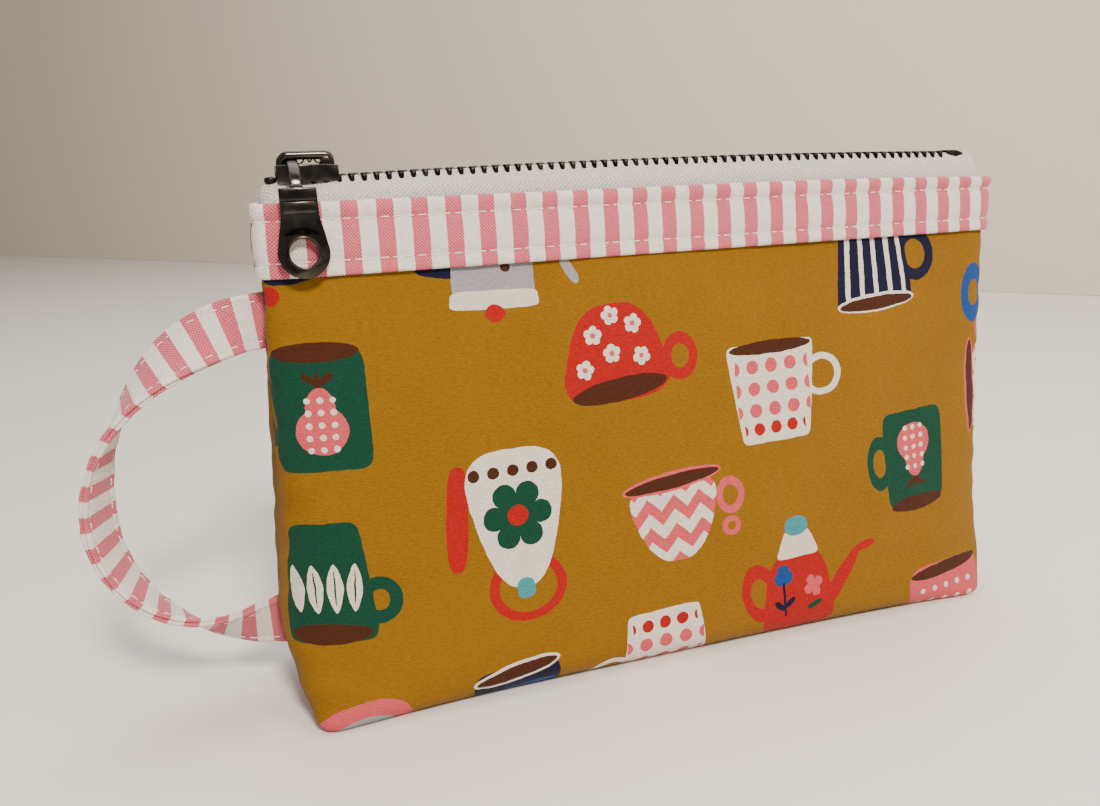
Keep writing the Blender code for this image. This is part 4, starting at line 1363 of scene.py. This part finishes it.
def build_pull():
    """Die-cast ring pull: a ring grown up into a straight neck, a stepped clip over its top, a
    bored hole with a bright lip, and the small staple that hangs on the link."""
    centre = PULL_TOP - PULL_LENGTH + PULL_RING
    front, back = PULL_BACK - PULL_THICKNESS, PULL_BACK
    pick_nothing()
    bpy.ops.mesh.primitive_cylinder_add(
        vertices=72, radius=PULL_RING * MM, depth=PULL_THICKNESS * MM,
        location=(0, (front + back) / 2 * MM, centre * MM), rotation=(math.pi / 2, 0, 0),
    )
    plate = bpy.context.object
    plate.name = "pull_plate"
    bpy.ops.object.transform_apply(location=True, rotation=True, scale=True)
    shoulder = PULL_TOP - PULL_NECK_LENGTH
    choose_faces(plate, lambda c, n: abs(n.y) < 0.5 and n.z > 0.25)
    for share, half in ((0.35, 4.98), (0.7, 4.42), (1.0, 4.08)):
        extrude((0, 0, 0.4))
        shape = bmesh.from_edit_mesh(plate.data)
        points = [v for v in shape.verts if v.select]
        low = centre + PULL_RING * 0.3
        level = low + (shoulder - low) * share
        widest = max(abs(v.co.x) for v in points)
        for point in points:
            point.co.z = level * MM
            point.co.x *= half * MM / widest
        bmesh.update_edit_mesh(plate.data)
    for level in (shoulder + 2.6, PULL_TOP):
        extrude((0, 0, 0.4))
        shape = bmesh.from_edit_mesh(plate.data)
        for point in (v for v in shape.verts if v.select):
            point.co.z = level * MM
            point.co.x *= 0.992
        bmesh.update_edit_mesh(plate.data)
    bpy.ops.object.mode_set(mode="OBJECT")
    bored(plate, (0, 0, centre), PULL_HOLE)
    round_edges(plate, 0.3, 3, 30)
    pick_nothing()
    bpy.ops.mesh.primitive_torus_add(
        major_radius=(PULL_HOLE + 0.28) * MM, minor_radius=0.3 * MM, major_segments=72,
        minor_segments=10, location=(0, (front + 0.02) * MM, centre * MM),
        rotation=(math.pi / 2, 0, 0),
    )
    lip = bpy.context.object
    bpy.ops.object.transform_apply(location=True, rotation=True, scale=True)
    bpy.ops.object.shade_smooth()
    clip = start_box(
        "pull_clip", (-4.05, front - 0.28, PULL_TOP - 2.7), (4.05, back - 0.1, PULL_TOP + 0.05)
    )
    round_edges(clip, 0.28, 3, 30)
    step = start_box(
        "pull_step", (-3.5, front - 0.12, PULL_TOP - 5.4), (3.5, front + 0.2, PULL_TOP - 3.0)
    )
    round_edges(step, 0.1, 2, 30)
    pieces = [plate, lip, clip, step]
    for side in (-1, 1):
        low, high = sorted((side * 1.75, side * 2.8))
        ear = start_box("staple_ear", (low, back - 0.3, -0.7), (high, 0.6, PULL_TOP - 0.1))
        pieces.append(round_edges(ear, 0.22, 2, 30))
    pick_nothing()
    bpy.ops.mesh.primitive_cylinder_add(
        vertices=20, radius=0.5 * MM, depth=5.0 * MM, location=(0, 0, 0),
        rotation=(0, math.pi / 2, 0),
    )
    bar = bpy.context.object
    bpy.ops.object.transform_apply(location=True, rotation=True, scale=True)
    bpy.ops.object.shade_smooth_by_angle(angle=math.radians(40))
    pull = join(*pieces, bar)
    pull.name = "pull_plate"
    return settle(pull, PULL_FRAME)


# ------------------------------------------------------------------ strap

STRAP_ROWS = 200


def strap_frame(share):
    """Centre and width direction of the strap, from its upper end to its lower."""
    turn = math.pi * share
    out = math.sin(turn)
    top_root = body_sizes(STRAP_TOP_HEIGHT)[0] + STRAP_SEAM_GAP
    low_root = body_sizes(STRAP_LOW_HEIGHT)[0] + STRAP_SEAM_GAP
    middle = (STRAP_TOP_HEIGHT + STRAP_LOW_HEIGHT) / 2
    rise = (STRAP_TOP_HEIGHT - STRAP_LOW_HEIGHT) / 2
    root = top_root + (low_root - top_root) * share
    into_seam = 2.6 * max(0.0, 1 - out / 0.12)
    height = middle - STRAP_SAG * out + rise * math.cos(turn)
    centre = np.array([-root - STRAP_REACH * out + into_seam, 0, height])
    outward = np.array([-math.sin(turn) / STRAP_REACH, 0, math.cos(turn) / rise])
    outward /= np.linalg.norm(outward)
    ease = STRAP_TWIST_EASE if share < 0.5 else STRAP_TURN_BACK_EASE
    twist = STRAP_TWIST * max(out, 0) ** ease
    return centre, outward * math.cos(twist) + np.array([0, 1, 0]) * math.sin(twist)


def strap_section():
    """Half-width and thickness of the folded strap: two folds at each edge with a groove between,
    and a shallow valley along each stitch line."""
    half = STRAP_WIDTH / 2
    upper = [
        (half - 0.55, 0.12), (half - 0.1, 0.2), (half + 0.02, 0.5), (half - 0.12, 0.82),
        (half - 0.5, 1.0), (half - 1.2, 1.0), (half - 1.8, 0.72), (half - 2.4, 0.94),
        (half - 3.6, 1.0), (0.0, 0.98),
    ]
    left = [(-x, y) for x, y in upper[::-1][1:]]
    top = upper + left
    bottom = [(x, -y) for x, y in top[::-1]]
    return top + bottom


def strap_frames():
    """Centre, width direction and face direction at each row, and the length run so far."""
    raw = [strap_frame(row / (STRAP_ROWS - 1)) for row in range(STRAP_ROWS)]
    centres = np.array([centre for centre, _ in raw])
    run = np.concatenate([[0], np.cumsum(np.linalg.norm(np.diff(centres, axis=0), axis=1))])
    along = np.gradient(centres, axis=0)
    frames = []
    for index, (centre, across) in enumerate(raw):
        way = along[index] / np.linalg.norm(along[index])
        share = index / (STRAP_ROWS - 1)
        if share < 0.02 or share > 0.98:
            ends = np.array([0, 0, 1.0 if share < 0.5 else -1.0])
            near = min(share, 1 - share) / 0.02
            across = across * near + ends * (1 - near)
        across = across - way * across.dot(way)
        across /= np.linalg.norm(across)
        frames.append((centre, across, np.cross(way, across)))
    return frames, run


def strap_mesh(name):
    frames, run = strap_frames()
    section = strap_section()
    faces = []
    count = len(section)
    outline = np.array(section + section[:1])
    sides = np.linalg.norm(np.diff(outline, axis=0), axis=1)
    reach = np.concatenate([[0], np.cumsum(sides)])
    u, v = np.array(section).T
    s = run[:, None]
    centre, across, normal = (np.array([f[i] for f in frames])[:, None, :] for i in range(3))
    sway = 0.35 * ripples(s, 0.0, 37, 60, 25)
    local = 0.1 * ripples(s, 0.0, 31, 9, 4) + 0.12 * ripples(s, u * 0.7, 41, 8, 3.5)
    out = v * (1 + local * np.where(np.abs(u) > STRAP_WIDTH / 2 - 1.5, 1.4, 0.6))
    places = centre + across * (u + sway * 0.5)[..., None] + normal * out[..., None]
    points = list(places.reshape(-1, 3))
    uvs = np.stack(np.broadcast_arrays(reach[:count], s), -1).reshape(-1, 2)
    for row in range(len(frames) - 1):
        for index in range(count):
            after = (index + 1) % count
            a, b = row * count, (row + 1) * count
            faces.append((a + index, a + after, b + after, b + index))
    faces.append(tuple(range(count))[::-1])
    faces.append(tuple(range(len(points) - count, len(points))))
    strap = make_object(name, points, faces, uvs)
    pick(strap)
    bpy.ops.object.mode_set(mode="EDIT")
    bpy.ops.mesh.select_all(action="SELECT")
    bpy.ops.mesh.normals_make_consistent(inside=False)
    bpy.ops.object.mode_set(mode="OBJECT")
    return strap


def strap_stitch_lines():
    frames, _ = strap_frames()
    lines = []
    for face in (1, -1):
        for side in (1, -1):
            line = [c + a * side * (STRAP_WIDTH / 2 - 1.8) + n * face * 0.7 for c, a, n in frames]
            outward = [n * face for _, _, n in frames]
            lines.append((np.array(line[2:-2]), np.array(outward[2:-2])))
    return lines


# ------------------------------------------------------------------ operators


CAMERA_PLACE = (-0.108568, -0.212388, 0.127779)
CAMERA_TURN = (0.3417, 0.2524, -0.0172)  # yaw, pitch and roll
SENSOR_WIDTH, LENS_SHARE = 36.0, 870 / 1100  # the focal length as a share of the picture's width
FLOOR_SIZE, FLOOR_DROP = 6.0, 0.0003
PANEL_THICKNESS, BAND_THICKNESS, TAPE_THICKNESS = 0.5, 0.3, 0.45
BACK_PRINT_SHIFT = (124.0, 58.0)


class POUCH_OT_camera(bpy.types.Operator):
    """Adds the camera"""

    bl_idname = "pouch.camera"
    bl_label = "Camera"

    def execute(self, context):
        yaw, pitch, roll = CAMERA_TURN
        forward = Vector(
            (math.sin(yaw) * math.cos(pitch), math.cos(yaw) * math.cos(pitch), -math.sin(pitch))
        )
        right = Vector((math.cos(yaw), -math.sin(yaw), 0))
        up = right.cross(forward)
        tilted_right = right * math.cos(roll) + up * math.sin(roll)
        tilted_up = up * math.cos(roll) - right * math.sin(roll)
        turn = Matrix((tilted_right, tilted_up, -forward)).transposed().to_4x4()
        data = bpy.data.cameras.new("Camera")
        data.sensor_width, data.lens = SENSOR_WIDTH, LENS_SHARE * SENSOR_WIDTH
        data.clip_start = 0.01
        camera = bpy.data.objects.new("Camera", data)
        camera.matrix_world = Matrix.Translation(CAMERA_PLACE) @ turn
        context.scene.collection.objects.link(camera)
        context.scene.camera = camera
        return {"FINISHED"}


class POUCH_OT_panels(bpy.types.Operator):
    """Builds the two printed main panels"""

    bl_idname = "pouch.panels"
    bl_label = "Printed panels"

    def execute(self, context):
        props = context.scene.pouch_cloth
        shapes = {kind: shape_group(kind) for kind in SHAPE_STEPS}
        groups = {name: motif_group(name, shapes) for name in MOTIFS}
        cloths = [
            printed_cotton(
                f"Printed mustard cotton {column}{row}", motifs_near(column, row), props, groups
            )
            for column in range(PRINT_CELLS[0]) for row in range(PRINT_CELLS[1])
        ]
        for word, side, shift in (("front", -1, (0.0, 0.0)), ("back", 1, BACK_PRINT_SHIFT)):
            panel = wall_sheet(f"{word}_printed_panel", side, 11 + side)
            thicken(panel, PANEL_THICKNESS)
            place_print(panel, shift, cloths)
            dress(panel, None, "pouch", "printed_cotton", f"{word}_panel")
        return {"FINISHED"}


class POUCH_OT_inner_layers(bpy.types.Operator):
    """Builds the fleece and the lining inside the panels"""

    bl_idname = "pouch.inner_layers"
    bl_label = "Fleece and lining"

    def execute(self, context):
        fleece = plain_cotton("Fusible polyester fleece", "#E6E3DE", 1.4, 0.2)
        lining = plain_cotton("White cotton lining", "#E0DBD4", 0.7, 0.08)
        for word, side in (("front", -1), ("back", 1)):
            for layer, inset, thickness, material, slot in (
                ("interfacing", 0.9, 1.0, fleece, "fleece"),
                ("lining", 2.3, 0.4, lining, "lining_cotton"),
            ):
                sheet = wall_sheet(f"{word}_{layer}_sheet", side, 11 + side)
                apply_modifier(sheet, "DISPLACE", strength=-inset * MM, mid_level=0.0)
                for point in sheet.data.vertices:
                    point.co.z = max(point.co.z, (inset + thickness) * MM)
                apply_modifier(sheet, "DECIMATE", ratio=0.3)
                thicken(sheet, thickness)
                dress(sheet, material, "pouch", slot, f"{word}_{layer}")
        return {"FINISHED"}


class POUCH_OT_bands(bpy.types.Operator):
    """Builds the folded striped bands along the top edges"""

    bl_idname = "pouch.bands"
    bl_label = "Striped bands"

    def execute(self, context):
        props = context.scene.pouch_stripe
        stripe = striped_cotton("Yarn-dyed striped cotton", props, props.period, props.phase)
        thread = plain_cotton("White polyester thread", "#D2C3C0", 0.4, 0.05)
        for word, side in (("front", -1), ("back", 1)):
            seed = 21 + side
            band = band_sheet(f"{word}_striped_band", side, seed)
            thicken(band, BAND_THICKNESS)
            dress(band, stripe, "pouch", "striped_cotton", f"{word}_band")
            for label, depth in (("upper", UPPER_STITCH), ("lower", LOWER_STITCH)):
                line, outward = band_stitch_line(side, depth, STITCH_OUTSET, seed)
                stitches = add_stitches(f"{word}_{label}_stitches", line, outward)
                dress(stitches, thread, "pouch", "striped_cotton")
        return {"FINISHED"}


class POUCH_OT_zip(bpy.types.Operator):
    """Builds the tapes, the teeth and the stops"""

    bl_idname = "pouch.zip"
    bl_label = "Zip chain and tapes"

    def execute(self, context):
        props = context.scene.pouch_zip
        cloth = zip_tape_cloth(props)
        metal = plated_metal("Black oxidised brass", props.teeth, "#4A4541", 0.3, 9000.0)
        for word, side in (("front", -1), ("back", 1)):
            tape = tape_sheet(f"{word}_herringbone_tape", side, 51 + side)
            thicken(tape, TAPE_THICKNESS, 0.0)
            dress(tape, cloth, "pouch", "zip_tape", f"{word}_zip_tape")
            row = row_of_teeth(f"{word}_tooth_row", side)
            dress(row, metal, "pouch", "black_metal", f"{word}_zip_teeth")
            near, far = sorted((side * 0.5, side * 2.6))
            stop = add_stop(
                f"{word}_crimped_top_stop", (TOP_STOP_START + 0.7, near, -1.0),
                (TOP_STOP_START + 3.2, far, 0.8), -0.55, 0,
            )
            dress(stop, metal, "pouch", "black_metal", f"{word}_top_stop")
        stop = add_stop(
            "crimped_bottom_stop", (STOP_START, -2.6, -1.2), (STOP_START + 6.2, 2.6, 1.2), 0.35, 8
        )
        dress(stop, metal, "pouch", "black_metal", "bottom_stop")
        return {"FINISHED"}


class POUCH_OT_slider(bpy.types.Operator):
    """Builds the slider with its crown and spring"""

    bl_idname = "pouch.slider"
    bl_label = "Slider"

    def execute(self, context):
        props = context.scene.pouch_zip
        metal = plated_metal("Gunmetal plated zinc", props.plating, "#5B5651", 0.2, 5200.0)
        dress(build_slider_body(), metal, "slider", "gunmetal", "slider_body")
        dress(build_crown(), metal, "slider", "gunmetal", "slider_crown")
        dress(build_spring(), metal, "slider", "gunmetal", "slider_lock_spring")
        return {"FINISHED"}


class POUCH_OT_pull(bpy.types.Operator):
    """Builds the link and the ring pull"""

    bl_idname = "pouch.pull"
    bl_label = "Link and pull"

    def execute(self, context):
        metal = bpy.data.materials["Gunmetal plated zinc"]
        dress(build_link(), metal, "link", "gunmetal", "pull_link")
        dress(build_pull(), metal, "pull", "gunmetal", "pull_tab")
        return {"FINISHED"}


class POUCH_OT_strap(bpy.types.Operator):
    """Builds the wrist strap and its edge stitching"""

    bl_idname = "pouch.strap"
    bl_label = "Wrist strap"

    def execute(self, context):
        props = context.scene.pouch_stripe
        stripe = striped_cotton(
            "Striped strap cotton", props, props.strap_period, props.strap_phase, "v"
        )
        thread = bpy.data.materials["White polyester thread"]
        strap = strap_mesh("folded_wrist_strap")
        dress(strap, stripe, None, "striped_cotton", "wrist_strap")
        for index, (line, outward) in enumerate(strap_stitch_lines()):
            stitches = add_stitches(f"strap_stitches_{index + 1}", line, outward)
            dress(stitches, thread, None, "striped_cotton")
        return {"FINISHED"}


class POUCH_OT_stage(bpy.types.Operator):
    """Adds the table top, the wall and the soft light"""

    bl_idname = "pouch.stage"
    bl_label = "Stage"

    def execute(self, context):
        props = context.scene.pouch_stage
        pick_nothing()
        bpy.ops.mesh.primitive_plane_add(size=FLOOR_SIZE, location=(0, 0, -FLOOR_DROP))
        floor = bpy.context.object
        floor.name = "table_top"
        # A satin lacquered board: a soft, wide sheen and no clear reflection.
        material = new_material(
            "Satin white table", props.floor, Roughness=0.42, Specular_IOR_Level=0.35
        )[0]
        floor.data.materials.append(material)
        far_left, far_right = Vector((-0.085, 1.31, 0)), Vector((0.78, 0.40, 0))
        along = (far_right - far_left).normalized()
        wall_points = [
            far_left - along * 3, far_right + along * 3,
            far_right + along * 3 + Vector((0, 0, 3)), far_left - along * 3 + Vector((0, 0, 3)),
        ]
        wall = make_object("wall", np.array(wall_points) / MM, [(0, 1, 2, 3)])
        # Matt emulsion paint: flat, without a highlight.
        material = new_material("Painted wall", props.wall, Roughness=0.9)[0]
        wall.data.materials.append(material)
        for name, place, aim, size, power, colour in (
            ("Key", (0.0, -0.92, 0.9), (-0.04, 0, 0.05), 0.2, props.key_power * 2.1, "#FFF0DF"),
            ("Fill", (0.75, -0.5, 0.8), (0.1, 0, 0.06), 1.0, props.key_power * 0.6, "#FFF3E4"),
            ("Left", (-0.8, -0.3, 0.9), (-0.05, 0, 0.06), 0.9, props.key_power * 0.2, "#FFFFFF"),
            ("Top", (0.1, 0.3, 1.2), (0, 0, 0.1), 1.0, props.key_power * 1.0, "#FFFFFF"),
        ):
            data = bpy.data.lights.new(name, "AREA")
            data.energy, data.size = power, size
            data.color = linear(colour)[:3]
            light = bpy.data.objects.new(name, data)
            light.location = place
            light.rotation_euler = (Vector(place) - Vector(aim)).to_track_quat("Z", "Y").to_euler()
            context.scene.collection.objects.link(light)
        world = bpy.data.worlds.new("World")
        world.use_nodes = True
        background = world.node_tree.nodes["Background"]
        background.inputs["Color"].default_value = linear("#D8D4CF")
        background.inputs["Strength"].default_value = 0.38
        context.scene.world = world
        return {"FINISHED"}


class VIEW3D_PT_pouch(bpy.types.Panel):
    """Lists the pouch's operators and settings"""

    bl_label = "Zippered pouch"
    bl_space_type = "VIEW_3D"
    bl_region_type = "UI"
    bl_category = "Pouch"

    def draw(self, context):
        for settings in ("pouch_cloth", "pouch_stripe", "pouch_zip", "pouch_stage"):
            group = getattr(context.scene, settings)
            for key in group.__annotations__:
                self.layout.prop(group, key)
        for operator in OPERATORS:
            self.layout.operator(operator.bl_idname)


OPERATORS = (
    POUCH_OT_camera, POUCH_OT_stage, POUCH_OT_panels, POUCH_OT_inner_layers, POUCH_OT_bands,
    POUCH_OT_zip, POUCH_OT_slider, POUCH_OT_pull, POUCH_OT_strap,
)
SETTINGS = {
    "pouch_cloth": PouchClothSettings, "pouch_stripe": PouchStripeSettings,
    "pouch_zip": PouchZipSettings, "pouch_stage": PouchStageSettings,
}


def register():
    for name, group in SETTINGS.items():
        bpy.utils.register_class(group)
        setattr(bpy.types.Scene, name, bpy.props.PointerProperty(type=group))
    for operator in OPERATORS:
        bpy.utils.register_class(operator)
    bpy.utils.register_class(VIEW3D_PT_pouch)


def unregister():
    bpy.utils.unregister_class(VIEW3D_PT_pouch)
    for operator in reversed(OPERATORS):
        bpy.utils.unregister_class(operator)
    for name, group in SETTINGS.items():
        delattr(bpy.types.Scene, name)
        bpy.utils.unregister_class(group)


def main():
    register()
    for operator in OPERATORS:
        family, action = operator.bl_idname.split(".")
        getattr(getattr(bpy.ops, family), action)()


if __name__ == "__main__":
    main()
